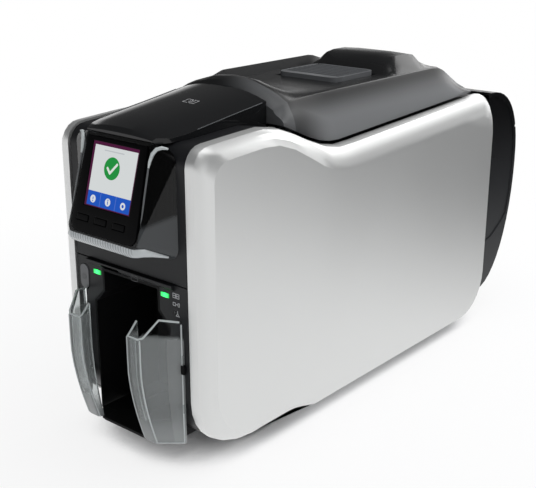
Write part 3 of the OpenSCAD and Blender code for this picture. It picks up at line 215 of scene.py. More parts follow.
def lidPlastic():
    # polished plateau; painted shade darkens the satin sides upwards and forwards and on up-facing
    # crowns; a painted sheen makes a paler band on the collar that fades out to the left
    look = lidLook
    p = Paint("lid_plastic")
    fine = p.noise(1800.0, 3.0)
    cloud = p.noise(9.0, 3.0)
    x, y, z = p.axis("X"), p.axis("Y"), p.axis("Z")
    rise = p.axis("Z", "Normal")
    polish = (p.ease(rise, *look["flat"]) * p.ease(z, *look["level"])
              * p.ease(y, *look["topStart"]))
    # painted shade: the sides darken upwards and towards the front
    dark = p.ease(z, *look["sideFade"]).most(
        (1 - p.ease(y, *look["frontFade"])) * look["frontShare"])
    # painted sheen: a paler band on the collar, fading out to the left
    collarSheen = (1 - p.ease(y, *look["collarSheenEdge"])) * p.ease(x, *look["collarSheenAcross"])
    tone = p.blend(dark, look["side"], look["shoulder"])
    # painted shade on surfaces that face upwards
    tone = p.blend(p.ease(rise, *look["crowned"]), tone, look["crown"])
    tone = p.blend(polish, tone, look["top"])
    tone = p.blend(collarSheen, tone, look["collarSheen"])
    tone = p.blend(cloud * 0.15, tone, look["haze"])
    rough = look["sideRough"] + polish * (look["topRough"] - look["sideRough"])
    return p.close(p.shader({
        "Base Color": tone, "Roughness": rough + (cloud - 0.5) * 0.06 + (fine - 0.5) * 0.05,
        "IOR": look["index"], "Normal": p.bump(fine, 0.08, 0.0003)}))


def glossShell(name, colour, roughness, index):
    p = Paint(name)
    wave = p.noise(38.0, 1.0)
    haze = p.noise(7.0, 4.0)
    dust = p.noise(900.0, 2.0)
    return p.close(p.shader({
        "Base Color": p.vary(haze, colour, 0.8, 1.3),
        "Roughness": roughness + haze * 0.06 + (dust > 0.72) * 0.1,
        "IOR": index, "Normal": p.bump(wave, 0.04, 0.0006)}))


smokeLook = {"low": (0.034, 0.035, 0.037), "high": (0.003, 0.003, 0.0035),
             "fade": (0.100, 0.215), "haze": (0.012, 0.012, 0.013), "roughness": 0.16,
             "index": 1.22}


def smokeShell():
    # smoked shell, with painted shade that makes it blacker towards its top
    look = smokeLook
    p = Paint("smoked_black")
    haze = p.noise(7.0, 4.0)
    wave = p.noise(38.0, 1.0)
    tone = p.blend(p.ease(p.axis("Z"), *look["fade"]), look["low"], look["high"])
    tone = p.blend(haze * 0.3, tone, look["haze"])
    return p.close(p.shader({
        "Base Color": tone, "Roughness": look["roughness"] + haze * 0.08, "IOR": look["index"],
        "Normal": p.bump(wave, 0.04, 0.0006)}))


# the grey painted reflection ends along a line that climbs by slope towards the front
wingSkin = {"clear": (0.86, 0.90, 0.90), "index": 1.10, "film": (0.34, 0.355, 0.355),
            "wallReflectionRough": 0.28, "slope": 0.25, "lift": 0.057, "level": (0.1050, 0.1090),
            "share": 0.36, "foot": (0.0225, 0.0480), "footShare": 0.45,
            "strip": (0.0465, 0.0470), "stripShare": 0.14}


def wingPlastic():
    # a clear wall whose lower part carries a grey painted reflection, with more of it at the foot
    # and on the outer strip
    look = wingSkin
    p = Paint("wing_plastic")
    smear = p.noise(24.0, 3.0)
    relief = p.bump(p.noise(30.0, 1.0), 0.05, 0.0005)
    clear = p.shader({
        "Base Color": p.vary(smear, look["clear"], 0.93, 1.04), "Roughness": 0.03 + smear * 0.05,
        "IOR": look["index"], "Transmission Weight": 1.0, "Normal": relief})
    film = p.shader({
        "Base Color": p.vary(smear, look["film"], 0.85, 1.15),
        "Roughness": look["wallReflectionRough"] + smear * 0.1, "Normal": relief})
    # painted reflection: grey below the edge line, and more near the foot and the outer strip
    edge = p.axis("Z") + p.axis("Y") * look["slope"] + look["lift"]
    foot = (1 - p.ease(p.axis("Z"), *look["foot"])) * look["footShare"]
    strip = p.ease(abs(p.axis("X")), *look["strip"]) * look["stripShare"]
    low = (1 - p.ease(edge, *look["level"])) * (look["share"] + strip) + foot
    return p.close(p.join(low, clear, film))


# the misty painted reflection lies under a line through start, in Y and Z, that climbs by slope
# towards the back
podSkin = {"clear": (0.03, 0.032, 0.034), "index": 1.3, "podReflection": (0.048, 0.053, 0.057),
           "podReflectionRough": 0.3, "start": (-0.225, 0.1885), "slope": 0.35,
           "fade": (-0.0040, 0.0015), "flank": (0.034, 0.036), "share": 0.8}


def podPlastic():
    # deep black above a slanting line on the flank, with a misty painted reflection below it
    look = podSkin
    p = Paint("pod_plastic")
    smear = p.noise(24.0, 3.0)
    relief = p.bump(p.noise(30.0, 1.0), 0.05, 0.0005)
    clear = p.shader({
        "Base Color": p.vary(smear, look["clear"], 0.9, 1.1), "Roughness": 0.04 + smear * 0.05,
        "IOR": look["index"], "Transmission Weight": 0.98, "Normal": relief})
    podReflection = p.shader({
        "Base Color": p.vary(smear, look["podReflection"], 0.85, 1.15),
        "Roughness": look["podReflectionRough"] + smear * 0.1, "Normal": relief})
    startY, startZ = look["start"]
    line = p.axis("Z") - startZ - (p.axis("Y") - startY) * look["slope"]
    low = (1 - p.ease(line, *look["fade"])) * p.ease(abs(p.axis("X")), *look["flank"])
    return p.close(p.join(low * look["share"], clear, podReflection))


rimLook = {"colour": (0.64, 0.67, 0.68), "groove": (0.12, 0.13, 0.14),
           "haze": (0.26, 0.27, 0.28), "pitch": 0.0026, "slant": 0.6, "rib": (0.26, 0.42),
           "ribbed": (0.030, 0.034), "depth": 0.55, "roughness": 0.12, "index": 1.5}


def rimPlastic():
    # thick clear rim with fine ribs behind it; its pale colour is a painted highlight
    look = rimLook
    p = Paint("rim_plastic")
    across = p.axis("X") + p.axis("Z") * look["slant"]
    rib = abs(p.node("ShaderNodeMath", {"operation": "FRACT"}, {0: across / look["pitch"]}) - 0.5)
    inside = 1 - p.ease(abs(p.axis("X")), *look["ribbed"])
    groove = p.ease(rib, *look["rib"]) * inside * look["depth"]
    haze = p.noise(60.0, 2.0)
    tone = p.blend(groove, look["colour"], look["groove"])
    tone = p.blend(haze * 0.3, tone, look["haze"])
    return p.close(p.shader({
        "Base Color": tone, "Roughness": look["roughness"] + haze * 0.08, "IOR": look["index"],
        "Normal": p.bump(groove, 0.3, 0.0004)}))


def brushedMetal(name, colour, roughness, along=(1, 60, 60)):
    p = Paint(name)
    line = p.noise(40.0, 3.0, along)
    cloud = p.noise(14.0, 3.0)
    return p.close(p.shader({
        "Base Color": p.vary(line * 0.6 + cloud * 0.4, colour, 0.82, 1.14), "Metallic": 1.0,
        "Roughness": roughness + (line - 0.5) * 0.2, "Normal": p.bump(line, 0.08, 0.0002)}))


def rubberSkin(name, colour, roughness=0.72):
    p = Paint(name)
    fine = p.noise(700.0, 4.0)
    cloud = p.noise(25.0, 2.0)
    return p.close(p.shader({
        "Base Color": p.vary(cloud, colour, 0.75, 1.25),
        "Roughness": roughness + (fine - 0.5) * 0.14, "Normal": p.bump(fine, 0.25, 0.0003)}))


glowLook = {"middle": 0.0355, "reach": 0.0046, "deep": (0.0, 0.10, 0.015),
            "bright": (0.03, 0.95, 0.16), "strength": 2.2}


def lightGuide():
    # brightest in the middle of each bar
    look = glowLook
    p = Paint("light_guide")
    off = abs(abs(p.axis("X")) - look["middle"])
    core = (1 - off / look["reach"]).most(0.0) * (0.75 + p.noise(300.0, 2.0) * 0.5)
    glow = p.blend(core, look["deep"], look["bright"])
    return p.close(p.shader({
        "Base Color": glow, "Roughness": 0.25 + core * 0.1, "Emission Color": glow,
        "Emission Strength": look["strength"]}))


boardLook = {"base": (0.02, 0.13, 0.06), "track": (0.06, 0.30, 0.13), "scale": 160.0,
             "width": 0.06}


def circuitBoard():
    look = boardLook
    p = Paint("circuit_board")
    cells = p.node("ShaderNodeTexVoronoi", {"feature": "DISTANCE_TO_EDGE"},
                   {"Vector": p.place(), "Scale": look["scale"]})
    track = cells < look["width"]
    return p.close(p.shader({
        "Base Color": p.blend(track, look["base"], look["track"]),
        "Roughness": 0.35 + track * 0.15, "Normal": p.bump(track, 0.2, 0.0002)}))


# metres on the tilted screen, from the middle of its lower edge
screenLook = {"tilt": 16.0, "foot": (-0.237, 0.169), "rise": 0.022, "width": 0.046,
              "height": 0.045, "edge": 0.0022, "thinEdge": 0.0008, "bar": 0.0108,
              "dividers": (-0.0076, 0.0078), "rule": (-0.011, 0.009, 0.0395, 0.0403),
              "badge": (-0.001, 0.0285, 0.0078), "tickWidth": 0.0009,
              "tick": [(-0.0044, -0.0002), (-0.0014, -0.0034), (0.0046, 0.0034)],
              "dots": [(-0.0150, 0.0027), (0.0002, 0.0027), (0.0154, 0.0025)],
              "paper": (0.88, 0.92, 0.92), "blue": (0.008, 0.11, 0.66),
              "paleBlue": (0.4, 0.5, 0.9), "grey": (0.25, 0.27, 0.35),
              "green": (0.012, 0.36, 0.055), "white": (0.95, 1.0, 0.95),
              "dotWhite": (0.92, 0.96, 1.0), "frame": (0.09, 0.006, 0.05),
              "glass": (0.004, 0.003, 0.005), "strength": 0.72}


def screenPicture():
    s = screenLook
    p = Paint("screen_picture")
    turn = math.radians(s["tilt"])
    footY, footZ = s["foot"]
    u = p.axis("X")
    v = ((p.axis("Z") - footZ) * math.cos(turn) + (p.axis("Y") - footY) * math.sin(turn)
         - s["rise"])

    def boxMask(x0, x1, y0, y1):
        return (u > x0) * (u < x1) * (v > y0) * (v < y1)

    def disc(x, y, r):
        return ((u - x) * (u - x) + (v - y) * (v - y)) < r * r

    def stroke(start, end, r):
        (x0, y0), (x1, y1) = start, end
        length = math.hypot(x1 - x0, y1 - y0)
        dx, dy = (x1 - x0) / length, (y1 - y0) / length
        along = ((u - x0) * dx + (v - y0) * dy).most(0.0).least(length)
        px = u - x0 - along * dx
        py = v - y0 - along * dy
        return (px * px + py * py) < r * r

    inBar = v < s["bar"]
    picture = p.blend(inBar, s["paper"], s["blue"])
    dividers = merged([abs(u - x) < 0.0002 for x in s["dividers"]]) * inBar
    picture = p.blend(dividers * 0.35, picture, s["paleBlue"])
    picture = p.blend(boxMask(*s["rule"]) * 0.35, picture, s["grey"])

    badgeX, badgeY, badgeSize = s["badge"]
    picture = p.blend(disc(badgeX, badgeY, badgeSize), picture, s["green"])
    corners = [(badgeX + x, badgeY + y) for x, y in s["tick"]]
    tick = merged([stroke(a, b, s["tickWidth"]) for a, b in zip(corners, corners[1:])])
    picture = p.blend(tick, picture, s["white"])

    row = s["bar"] * 0.5
    dots = merged([disc(x, row, size) for x, size in s["dots"]])
    picture = p.blend(dots, picture, s["dotWhite"])
    left, middle, right = [x for x, size in s["dots"]]
    signs = merged([
        stroke((middle, row - 0.0013), (middle, row + 0.0004), 0.0004),
        disc(middle, row + 0.0015, 0.0005), disc(right, row, 0.0011),
        stroke((left, row - 0.0002), (left, row + 0.0010), 0.0004),
        disc(left, row - 0.0015, 0.0005)])
    picture = p.blend(signs, picture, s["blue"])

    half, edge, thin = s["width"] / 2, s["edge"], s["thinEdge"]
    inside = boxMask(-half + edge, half - thin, thin, s["height"] - edge)
    return p.close(p.shader({
        "Base Color": (*s["glass"], 1.0), "Roughness": 0.12 + inside * 0.05, "IOR": 1.2,
        "Emission Color": p.blend(inside, s["frame"], picture),
        "Emission Strength": s["strength"]}))


finishes = {
    "silver": silverPaint(),
    "lid": lidPlastic(),
    "shell": mouldedPlastic("dark_shell", (0.011, 0.0115, 0.013), 0.42, index=1.28),
    "inner": mouldedPlastic("dark_inner", (0.005, 0.005, 0.0055), 0.6, index=1.2),
    "grey": mouldedPlastic("grey_plastic", (0.05, 0.053, 0.058), 0.5),
    "pad": mouldedPlastic("pad_plastic", (0.110, 0.114, 0.120), 0.34, 1800.0, 0.08, 1.45),
    "gloss": glossShell("gloss_black", (0.009, 0.0093, 0.010), 0.08, 1.36),
    "face": glossShell("face_black", (0.0022, 0.0022, 0.0025), 0.06, 1.13),
    "smoke": smokeShell(),
    "clear": wingPlastic(),
    # painted highlights: pale beads and crests laid on clear edges
    "bead": glossShell("highlight_bead", (0.50, 0.53, 0.53), 0.12, 1.5),
    # painted highlights: dim lines along clear edges and the hood's creases
    "edge": glossShell("highlight_edge", (0.10, 0.105, 0.11), 0.14, 1.45),
    # a clear rim whose pale colour is a painted highlight
    "rim": rimPlastic(),
    "surround": podPlastic(),
    "light": lightGuide(),
    "screen": screenPicture(),
    "rubber": rubberSkin("black_rubber", (0.016, 0.016, 0.017)),
    "tacky": rubberSkin("tacky_blue", (0.05, 0.20, 0.42), 0.4),
    "steel": brushedMetal("steel_sheet", (0.52, 0.53, 0.55), 0.34),
    "pin": brushedMetal("steel_pin", (0.55, 0.56, 0.58), 0.26, (60, 1, 1)),
    "port": brushedMetal("port_shield", (0.48, 0.49, 0.50), 0.3, (1, 1, 60)),
    "brass": brushedMetal("brass_pulley", (0.62, 0.43, 0.16), 0.3),
    "blue": mouldedPlastic("blue_lever", (0.02, 0.10, 0.33), 0.38),
    "pulley": mouldedPlastic("pulley_plastic", (0.55, 0.52, 0.44), 0.45),
    "ribbon": glossShell("ribbon_film", (0.10, 0.012, 0.05), 0.2, 1.4),
    "core": mouldedPlastic("spool_core", (0.30, 0.30, 0.31), 0.5),
    "board": circuitBoard(),
    "ceramic": glossShell("ceramic_strip", (0.55, 0.55, 0.53), 0.25, 1.4),
}

dressing = {
    "silver": ["left_side_panel", "right_side_panel"],
    "shell": ["upper_fascia", "lower_fascia", "rear_cover"],
    "inner": ["base_tray", "output_bay", "output_tray", "bay_frame", "power_inlet"],
    "lid": ["lid_shell"],
    "pad": ["release_pad", "power_button"],
    "grey": ["lid_frame", "card_weight", "ribbon_cartridge", "card_guide"],
    "gloss": ["front_hood"],
    "face": ["display_bezel", "left_menu_button", "middle_menu_button", "right_menu_button"],
    "smoke": ["rear_shroud", "hopper_cover"],
    "clear": ["left_output_wing", "right_output_wing"],
    "surround": ["clear_surround"],
    "light": ["status_light_guides"],
    "screen": ["screen_module"],
    "rubber": ["rubber_feet", "feed_roller", "transport_roller", "platen_roller", "exit_roller",
               "drive_belt", "motor_belt"],
    "tacky": ["cleaning_roller"],
    "steel": ["chassis", "printhead_bracket", "latch_bar", "drive_motor"],
    "pin": ["hopper_hinge_pin", "lid_hinge_pins"],
    "port": ["usb_port", "network_port"],
    "brass": ["motor_pulley"],
    "blue": ["thickness_lever"],
    "pulley": ["feed_pulley", "transport_pulley", "platen_pulley", "exit_pulley"],
    "ribbon": ["supply_spool", "ribbon_film"],
    "core": ["takeup_spool"],
    "board": ["main_board"],
    "ceramic": ["printhead"],
}


def dress(thing, finish):
    if not thing.material_slots:
        thing.data.materials.append(finish)
    for slot in thing.material_slots:
        slot.material = finish


for finish, names in dressing.items():
    for name in names:
        dress(nodes[name], finishes[finish])
print("finishes:", len(finishes), "on", sum(len(n) for n in dressing.values()), "nodes")


edgeLook = {"crease": 34.0, "weld": 1e-6, "bevel": 0.0005, "trimBevel": 0.0003, "steps": 2,
            "sharp": 40.0, "weight": 50,
            "crisp": {"left_side_panel": 19.0, "right_side_panel": 19.0, "front_hood": 26.0},
            "bevelled": ["upper_fascia", "lower_fascia", "display_bezel", "rear_cover",
                         "rear_shroud", "hopper_cover", "front_hood", "release_pad",
                         "left_output_wing", "right_output_wing", "output_tray", "output_bay",
                         "power_button", "left_menu_button", "middle_menu_button",
                         "right_menu_button", "card_weight", "thickness_lever", "bay_frame",
                         "lid_shell"]}


def smooth(thing, crease, bevelWidth):
    # soft shading that breaks at creases, with a fine bevel where a width is given
    look = edgeLook
    if "custom_normal" in thing.data.attributes:
        thing.data.attributes.remove(thing.data.attributes["custom_normal"])
    thing.data.polygons.foreach_set("use_smooth", [True] * len(thing.data.polygons))
    weld = thing.modifiers.new("weld", "WELD")
    weld.merge_threshold = look["weld"]
    if bevelWidth:
        rim = thing.modifiers.new("edges", "BEVEL")
        rim.width = bevelWidth
        rim.segments = look["steps"]
        rim.limit_method = "ANGLE"
        rim.angle_limit = math.radians(look["sharp"])
        rim.use_clamp_overlap = True
    split = thing.modifiers.new("creases", "EDGE_SPLIT")
    split.use_edge_angle = True
    split.split_angle = math.radians(crease)
    even = thing.modifiers.new("even", "WEIGHTED_NORMAL")
    even.mode = "FACE_AREA"
    even.weight = look["weight"]


for name, thing in nodes.items():
    smooth(thing, edgeLook["crisp"].get(name, edgeLook["crease"]),
           edgeLook["bevel"] if name in edgeLook["bevelled"] else 0.0)
print("edges eased")


def link(name, shape, finish, body="machine"):
    thing = bpy.data.objects.new(name, shape)
    bpy.context.scene.collection.objects.link(thing)
    thing.data.materials.append(finish)
    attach(thing, body)
    return thing


def skinOf(*names):
    # the shells that a sign is laid on, as one search tree
    points, faces = [], []
    for name in names:
        mesh = nodes[name].data
        start = len(points)
        points += [v.co.copy() for v in mesh.vertices]
        faces += [[start + i for i in f.vertices] for f in mesh.polygons]
    return BVHTree.FromPolygons(points, faces)


def circle(x, y, r, start=0.0, end=360.0, steps=20):
    turns = [math.radians(start + (end - start) * i / steps) for i in range(steps + 1)]
    return [(x + r * math.cos(turn), y + r * math.sin(turn)) for turn in turns]


def rectangle(x0, y0, x1, y1):
    return [(x0, y0), (x1, y0), (x1, y1), (x0, y1), (x0, y0)]


# signs in millimetres, about their own middles
signLines = {
    "ribbon": [rectangle(-3, -1.6, -0.3, 1.6), rectangle(0.3, -1.6, 3, 1.6), [(-3, 0), (3, 0)]],
    "card": [rectangle(-3, -1.2, -0.6, 1.0), [(0.2, 0), (1.4, 0)], rectangle(1.8, -1.2, 3.2, 1.2)],
    "clean": [circle(-1.6, 0.6, 0.5, steps=8), [(1.0, 1.9), (1.0, 0.1)],
              [(-0.6, -1.9), (1.0, 0.1), (2.6, -1.9), (-0.6, -1.9)]],
    "power": [circle(0, 0, 1.7, 120, 420), [(0, 0.6), (0, 2.2)]],
    "contact": [rectangle(-3.6, -2.4, 3.6, 2.4), circle(-1.6, 0, 1.0, -50, 50, 6),
                circle(-1.6, 0, 2.2, -50, 50, 8), circle(-1.6, 0, 3.4, -45, 45, 10)],
    "tongue": [rectangle(-3.2, -2.0, 3.2, 2.0), [(-3.2, 0.8), (3.2, 0.8)],
               [(-1.6, -0.8), (1.6, -0.8)]],
}
signLook = {
    "ribbon": {"at": (0.0464, -0.212, 0.1334), "size": 1.0, "line": 0.5, "paint": "white"},
    "card": {"at": (0.0464, -0.212, 0.1272), "size": 1.0, "line": 0.5, "paint": "white"},
    "clean": {"at": (0.0466, -0.212, 0.1204), "size": 1.0, "line": 0.5, "paint": "white"},
    "power": {"at": (-0.0500, -0.2126, 0.1250), "size": 1.1, "line": 0.35, "paint": "faint",
              "body": "power_key"},
    "contact": {"at": (0.0080, -0.1540, 0.2600), "size": 1.4, "line": 0.55, "paint": "soft",
                "face": "hood"},
    "tongue": {"at": (0.0080, -0.2150, 0.1378), "size": 1.0, "line": 0.35, "paint": "faint"},
}
signPaint = {"white": mouldedPlastic("sign_white", (0.62, 0.63, 0.64), 0.5, 2000.0, 0.05),
             "soft": mouldedPlastic("sign_silver", (0.46, 0.46, 0.47), 0.5, 2000.0, 0.05),
             "faint": mouldedPlastic("sign_grey", (0.11, 0.11, 0.115), 0.5, 2000.0, 0.05)}
signDrop = {"unit": 0.001, "above": 0.02, "lift": 0.00012}   # where the search starts; paint film
xAxis, yAxis, zAxis = Vector((1, 0, 0)), Vector((0, 1, 0)), Vector((0, 0, 1))
signFaces = {"front": {"skin": skinOf("lower_fascia", "power_button"), "up": zAxis, "out": -yAxis},
             "hood": {"skin": skinOf("front_hood"), "up": yAxis, "out": zAxis}}


def layStrokes(name, lines, look):
    # flat ribbons along broken lines, dropped on the skin under them
    face = signFaces[look.get("face", "front")]
    up, out = face["up"], face["out"]
    size = look["size"] * signDrop["unit"]
    width = look["line"] * signDrop["unit"]
    mesh = bpy.data.meshes.new(name)
    bm = bmesh.new()
    for line in lines:
        points = [Vector((x * size, y * size)) for x, y in line]
        for a, b in zip(points, points[1:]):
            d = b - a
            side = Vector((-d.y, d.x)).normalized() * width / 2
            ends = d.normalized() * width / 2
            corners = []
            for c in (a - ends + side, a - ends - side, b + ends - side, b + ends + side):
                spot = Vector(look["at"]) + xAxis * c.x + up * c.y
                hit = face["skin"].ray_cast(spot + out * signDrop["above"], -out)[0]
                corners.append(bm.verts.new((hit if hit else spot) + out * signDrop["lift"]))
            bm.faces.new(corners)
    bm.normal_update()
    for made in bm.faces:
        if made.normal.dot(out) < 0:
            made.normal_flip()
    bm.to_mesh(mesh)
    bm.free()
    link(name, mesh, signPaint[look["paint"]], look.get("body", "machine"))


for name, look in signLook.items():
    layStrokes(name + "_sign", signLines[name], look)
print("signs:", len(signLook))


def prism(name, outline, low, high, turned=False):
    # a black block: an outline raised along z, or along x where it is turned
    mesh = bpy.data.meshes.new(name)
    bm = bmesh.new()
    near, far = [[bm.verts.new((level, a, b) if turned else (a, b, level)) for a, b in outline]
                 for level in (low, high)]
    bm.faces.new(near)
    bm.faces.new(far[::-1])
    for i in range(len(outline)):
        k = (i + 1) % len(outline)
        bm.faces.new((near[i], far[i], far[k], near[k]))
    bmesh.ops.recalc_face_normals(bm, faces=bm.faces)
    bm.to_mesh(mesh)
    bm.free()
    smooth(link(name, mesh, finishes["inner"]), edgeLook["crease"], edgeLook["trimBevel"])


sides = {"left": -1, "right": 1}
cheekLook = {"inner": 0.0382, "outer": 0.0398, "front": -0.2118, "back": -0.1600,
             "low": 0.0172, "high": 0.0560, "toe": 0.002, "heel": 0.004, "slant": 0.012}
earLook = {"inner": 0.0232, "outer": 0.0385, "front": -0.2236, "back": -0.2119,
           "low": 0.0191, "high": 0.0213, "tip": 0.002}


def bayCorner(name, side):
    # closes the lower front corner of the bay, where the shells round away, with dark plates put
    # there as painted shade
    look = cheekLook
    front, back, low, high = look["front"], look["back"], look["low"], look["high"]
    prism(name + "_bay_cheek",
          [(front, high), (front, low + look["toe"]), (front + look["toe"], low), (back, low),
           (back, low + look["heel"]), (front + look["slant"], high)],
          side * look["inner"], side * look["outer"], turned=True)
    look = earLook
    inner, outer, front, back = look["inner"], look["outer"], look["front"], look["back"]
    prism(name + "_tray_ear",
          [(side * inner, back), (side * outer, back), (side * (inner + look["tip"]), front),
           (side * inner, front)],
          look["low"], look["high"])


for name, side in sides.items():
    bayCorner(name, side)


def tube(name, points, radius, finish, taper=None):
    # a thin bead along a broken line; taper gives its share of the radius at each point
    curve = bpy.data.curves.new(name, "CURVE")
    curve.dimensions = "3D"
    curve.bevel_depth = radius
    curve.bevel_resolution = 2
    curve.use_fill_caps = True
    line = curve.splines.new("POLY")
    line.points.add(len(points) - 1)
    for i, (spot, place) in enumerate(zip(line.points, points)):
        spot.co = (*place, 1.0)
        spot.radius = taper[i] if taper else 1.0
    link(name, curve, finishes[finish])


# pale beads along the free edges of the wings, as painted highlights where those edges catch the
# light; rows are heights
wingLook = {"front": -0.240, "lean": 0.013, "curl": 1.6, "low": 0.0216, "knee": 0.082,
            "rows": [0.0222 + i * 0.0070 for i in range(13)], "backRows": (0.0222, 0.0600, 0.1140),
            "back": -0.2135, "inset": 0.0010, "foldInset": 0.0006,
            "inner": 0.0246, "corner": 0.0372, "outer": 0.0520, "fold": 0.0335,
            "bead": 0.0006, "foldBead": 0.5, "topBead": 1.3,
            "top": [(0.0251, -0.2300, 0.1150), (0.0251, -0.2370, 0.1080),
                    (0.0256, -0.2392, 0.1068), (0.0356, -0.2392, 0.1068),
                    (0.0386, -0.2372, 0.1080), (0.0432, -0.2260, 0.1190),
                    (0.0500, -0.2135, 0.1154)]}


def wingFront(z):
    # the front edge is upright over the knee and curls back under it
    look = wingLook
    under = max(0.0, (look["knee"] - z) / (look["knee"] - look["low"]))
    return look["front"] + look["lean"] * under ** look["curl"]


def wingBeads(name, side):
    look = wingLook
    rows, back = look["rows"], look["back"]
    foot = rows[0]

    def frontLine(x, inset):
        return [(side * x, wingFront(z) + inset, z) for z in rows]

    beads = {
        "inner": (frontLine(look["inner"], look["inset"]), 1.0),
        "outer": (frontLine(look["corner"], look["inset"]), 1.0),
        "foot": ([(side * look["inner"], wingFront(foot) + look["inset"], foot),
                  (side * look["corner"], wingFront(foot) + look["inset"], foot),
                  (side * look["outer"], back, foot)], 1.0),
        "back": ([(side * look["outer"], back, z) for z in look["backRows"]], 1.0),
        "fold": (frontLine(look["fold"], look["foldInset"]), look["foldBead"]),
        "top": ([(side * x, y, z) for x, y, z in look["top"]], look["topBead"])}
    # painted highlights along the wing edges
    for part, (line, size) in beads.items():
        tube(f"{name}_wing_{part}_bead", line, look["bead"] * size, "bead")


# x and z of each middle, with half its width and height
clipLook = {"front": -0.2146, "back": -0.2122,
            "clip": {"at": (0.0515, 0.0800), "half": (0.0030, 0.0034)},
            "slot": {"at": (0.0465, 0.0500), "half": (0.0024, 0.0022)}}


def wingClips(name, side):
    # clip and slot where a wing hooks into the front; the slot is a black block, painted shade for
    # its opening
    front, back = clipLook["front"], clipLook["back"]
    for part in ("clip", "slot"):
        (x, z), (w, h) = clipLook[part]["at"], clipLook[part]["half"]
        outline = [(side * x - w, front), (side * x + w, front), (side * x + w, back),
                   (side * x - w, back)]
        prism(f"{name}_wing_{part}", outline, z - h, z + h)


for name, side in sides.items():
    wingBeads(name, side)
    wingClips(name, side)
print("bay cheeks, wing beads and clips made")


# right halves; the rim's path runs outwards from its start
podRimLook = {
    "start": (0.0300, -0.2345, 0.1670), "radius": 0.0037, "taper": [1.0, 1.0, 0.9, 0.55, 0.2],
    "path": [(0, 0, 0), (0.0035, 0.0008, 0.0006), (0.0065, 0.0038, 0.0006),
             (0.0100, 0.0095, -0.0014), (0.0150, 0.0180, -0.0046)],
    "edge": [(0.0355, -0.2335, 0.1760), (0.0343, -0.2262, 0.2050), (0.0338, -0.2212, 0.2235)],
    "edgeRadius": 0.0007,
    "crest": [(0.0338, -0.2218, 0.2215), (0.0340, -0.2200, 0.2275), (0.0350, -0.2182, 0.2325),
              (0.0370, -0.2162, 0.2355), (0.0400, -0.2142, 0.2366), (0.0440, -0.2126, 0.2362)],
    "crestRadius": 0.0014, "crestTaper": [0.3, 0.8, 1.0, 1.0, 0.9, 0.5]}
creaseLook = {"radius": 0.00035, "line": [(0.0431, -0.1840, 0.2443), (0.0431, -0.1500, 0.2487),
                                          (0.0438, -0.1180, 0.2529)]}


def mirrored(line, side):
    return [(side * x, y, z) for x, y, z in line]


def podRim():
    # thick clear rim under the display with a painted highlight, and the crest over its flanks as
    # a bright painted highlight, with dim painted highlights along the flanks' front edges
    look = podRimLook
    x, y, z = look["start"]
    right = [(x + dx, y + dy, z + dz) for dx, dy, dz in look["path"]]
    taper = look["taper"]
    tube("pod_rim", mirrored(right, -1)[::-1] + right, look["radius"], "rim",
         taper[::-1] + taper)
    for name, side in sides.items():
        tube(name + "_pod_edge", mirrored(look["edge"], side), look["edgeRadius"], "edge")
        tube(name + "_pod_crest", mirrored(look["crest"], side), look["crestRadius"], "bead",
             look["crestTaper"])


podRim()
# dim painted highlights along the hood's creases
for name, side in sides.items():
    tube(name + "_hood_crease", mirrored(creaseLook["line"], side), creaseLook["radius"], "edge")
print("pod rim and hood creases made")


stageLook = {"floorSize": 9.0, "sink": 0.0002, "floor": (0.86, 0.86, 0.87),
             "glow": 0.84, "far": 1.0, "glowReach": (0.25, 0.60), "contact": 0.040,
             "open": (0.20, 0.56), "mirror": (1.25, 0.03), "mirrorReach": (0.06, 0.68),
             "world": 0.42, "sky": (0.96, 0.98, 1.0, 1), "ceiling": 0.10, "sweep": (0.0, 0.22)}
whiteLight = (1, 1, 1, 1)


def floorPaint():
    # pale for the eye, with painted shade that deepens towards the middle and a contact shadow
    # from ambient occlusion where the object all but touches it; in gloss it is a painted
    # reflection, bright at the front and fading to the back
    look = stageLook
    p = Paint("studio_floor")

    def emission(strength):
        return p.node("ShaderNodeEmission", None, {0: whiteLight, 1: strength})

    x, y = p.axis("X"), p.axis("Y")
    away = (x * x + y * y).root()
    near = p.node("ShaderNodeAmbientOcclusion", {"samples": 8},
                  {"Distance": look["contact"]}, "AO")
    glow = look["glow"] + p.ease(away, *look["glowReach"]) * (look["far"] - look["glow"])
    seen = p.rays("Is Camera Ray", "Is Transmission Ray") * glow * p.ease(near, *look["open"])
    plain = p.shader({"Base Color": p.vary(p.noise(3.0, 2.0), look["floor"], 0.995, 1.005),
                      "Roughness": 0.9, "Specular IOR Level": 0.1})
    shown = p.join(seen, plain, emission(1.0))
    front, back = look["mirror"]
    mirror = p.join(p.ease(y, *look["mirrorReach"]), emission(front), emission(back))
    return p.close(p.join(p.rays("Is Glossy Ray"), shown, mirror))


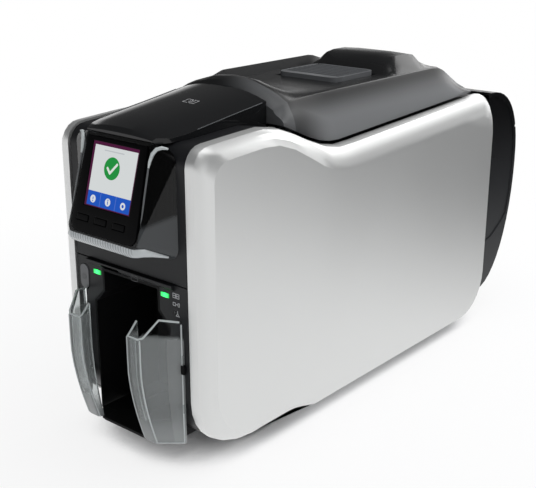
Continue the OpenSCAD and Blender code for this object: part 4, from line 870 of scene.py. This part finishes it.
def studioWorld():
    # white all round for the camera; a darker ceiling in reflections
    look = stageLook
    p = Paint("studio", world=True)

    def background(colour, strength):
        return p.node("ShaderNodeBackground", None, {0: colour, 1: strength})

    rise = p.ease(p.axis("Z", "Generated"), *look["sweep"])
    glossy = p.rays("Is Glossy Ray")
    reflected = glossy * (1 - rise * (1 - look["ceiling"]))
    under = p.join(glossy, background(look["sky"], look["world"]), background(whiteLight, 0.0))
    white = p.rays("Is Camera Ray", "Is Transmission Ray").most(reflected)
    return p.close(p.join(white, under, background(whiteLight, 1.0)))


floorHalf = stageLook["floorSize"] / 2
floorMesh = bpy.data.meshes.new("studio_floor")
floorMesh.from_pydata([(-floorHalf, -floorHalf, 0), (floorHalf, -floorHalf, 0),
                       (floorHalf, floorHalf, 0), (-floorHalf, floorHalf, 0)], [], [(0, 1, 2, 3)])
floor = bpy.data.objects.new("studio_floor", floorMesh)
floor.location.z = -stageLook["sink"]
bpy.context.scene.collection.objects.link(floor)
floor.data.materials.append(floorPaint())
bpy.context.scene.world = studioWorld()


def aimed(name, data, at, target):
    # a lamp or camera linked at a place and turned to a target
    thing = bpy.data.objects.new(name, data)
    bpy.context.scene.collection.objects.link(thing)
    thing.location = at
    thing.rotation_euler = (Vector(target) - Vector(at)).to_track_quat("-Z", "Y").to_euler()
    return thing


lampAim = (0, 0, 0.12)
lampLook = {
    "back": {"at": (0.45, 1.05, 0.90), "size": (1.2, 0.6), "power": 5.0},
    "low": {"at": (-0.05, 1.25, 0.62), "size": (0.9, 1.0), "power": 6.0},
    "over": {"at": (0.35, -0.05, 1.5), "size": (1.2, 1.2), "power": 10.0},
    "side": {"at": (1.4, -0.9, 0.7), "size": (0.9, 0.9), "power": 2.0},
}
for name, look in lampLook.items():
    lamp = bpy.data.lights.new(name, "AREA")
    lamp.shape = "RECTANGLE"
    lamp.size, lamp.size_y = look["size"]
    lamp.energy = look["power"]
    aimed(name, lamp, look["at"], lampAim)

cameraLook = {"at": (0.5050, -0.6560, 0.3867), "aim": (-0.0235, -0.0319, 0.1091),
              "lens": 66.92, "sensor": 36.0, "near": 0.01}
camera = bpy.data.cameras.new("camera")
camera.lens = cameraLook["lens"]
camera.sensor_width = cameraLook["sensor"]
camera.sensor_fit = "HORIZONTAL"
camera.clip_start = cameraLook["near"]
bpy.context.scene.camera = aimed("camera", camera, cameraLook["at"], cameraLook["aim"])
bpy.context.scene.view_settings.view_transform = "Standard"
print("stage, lamps and camera set")

print("scene ready")
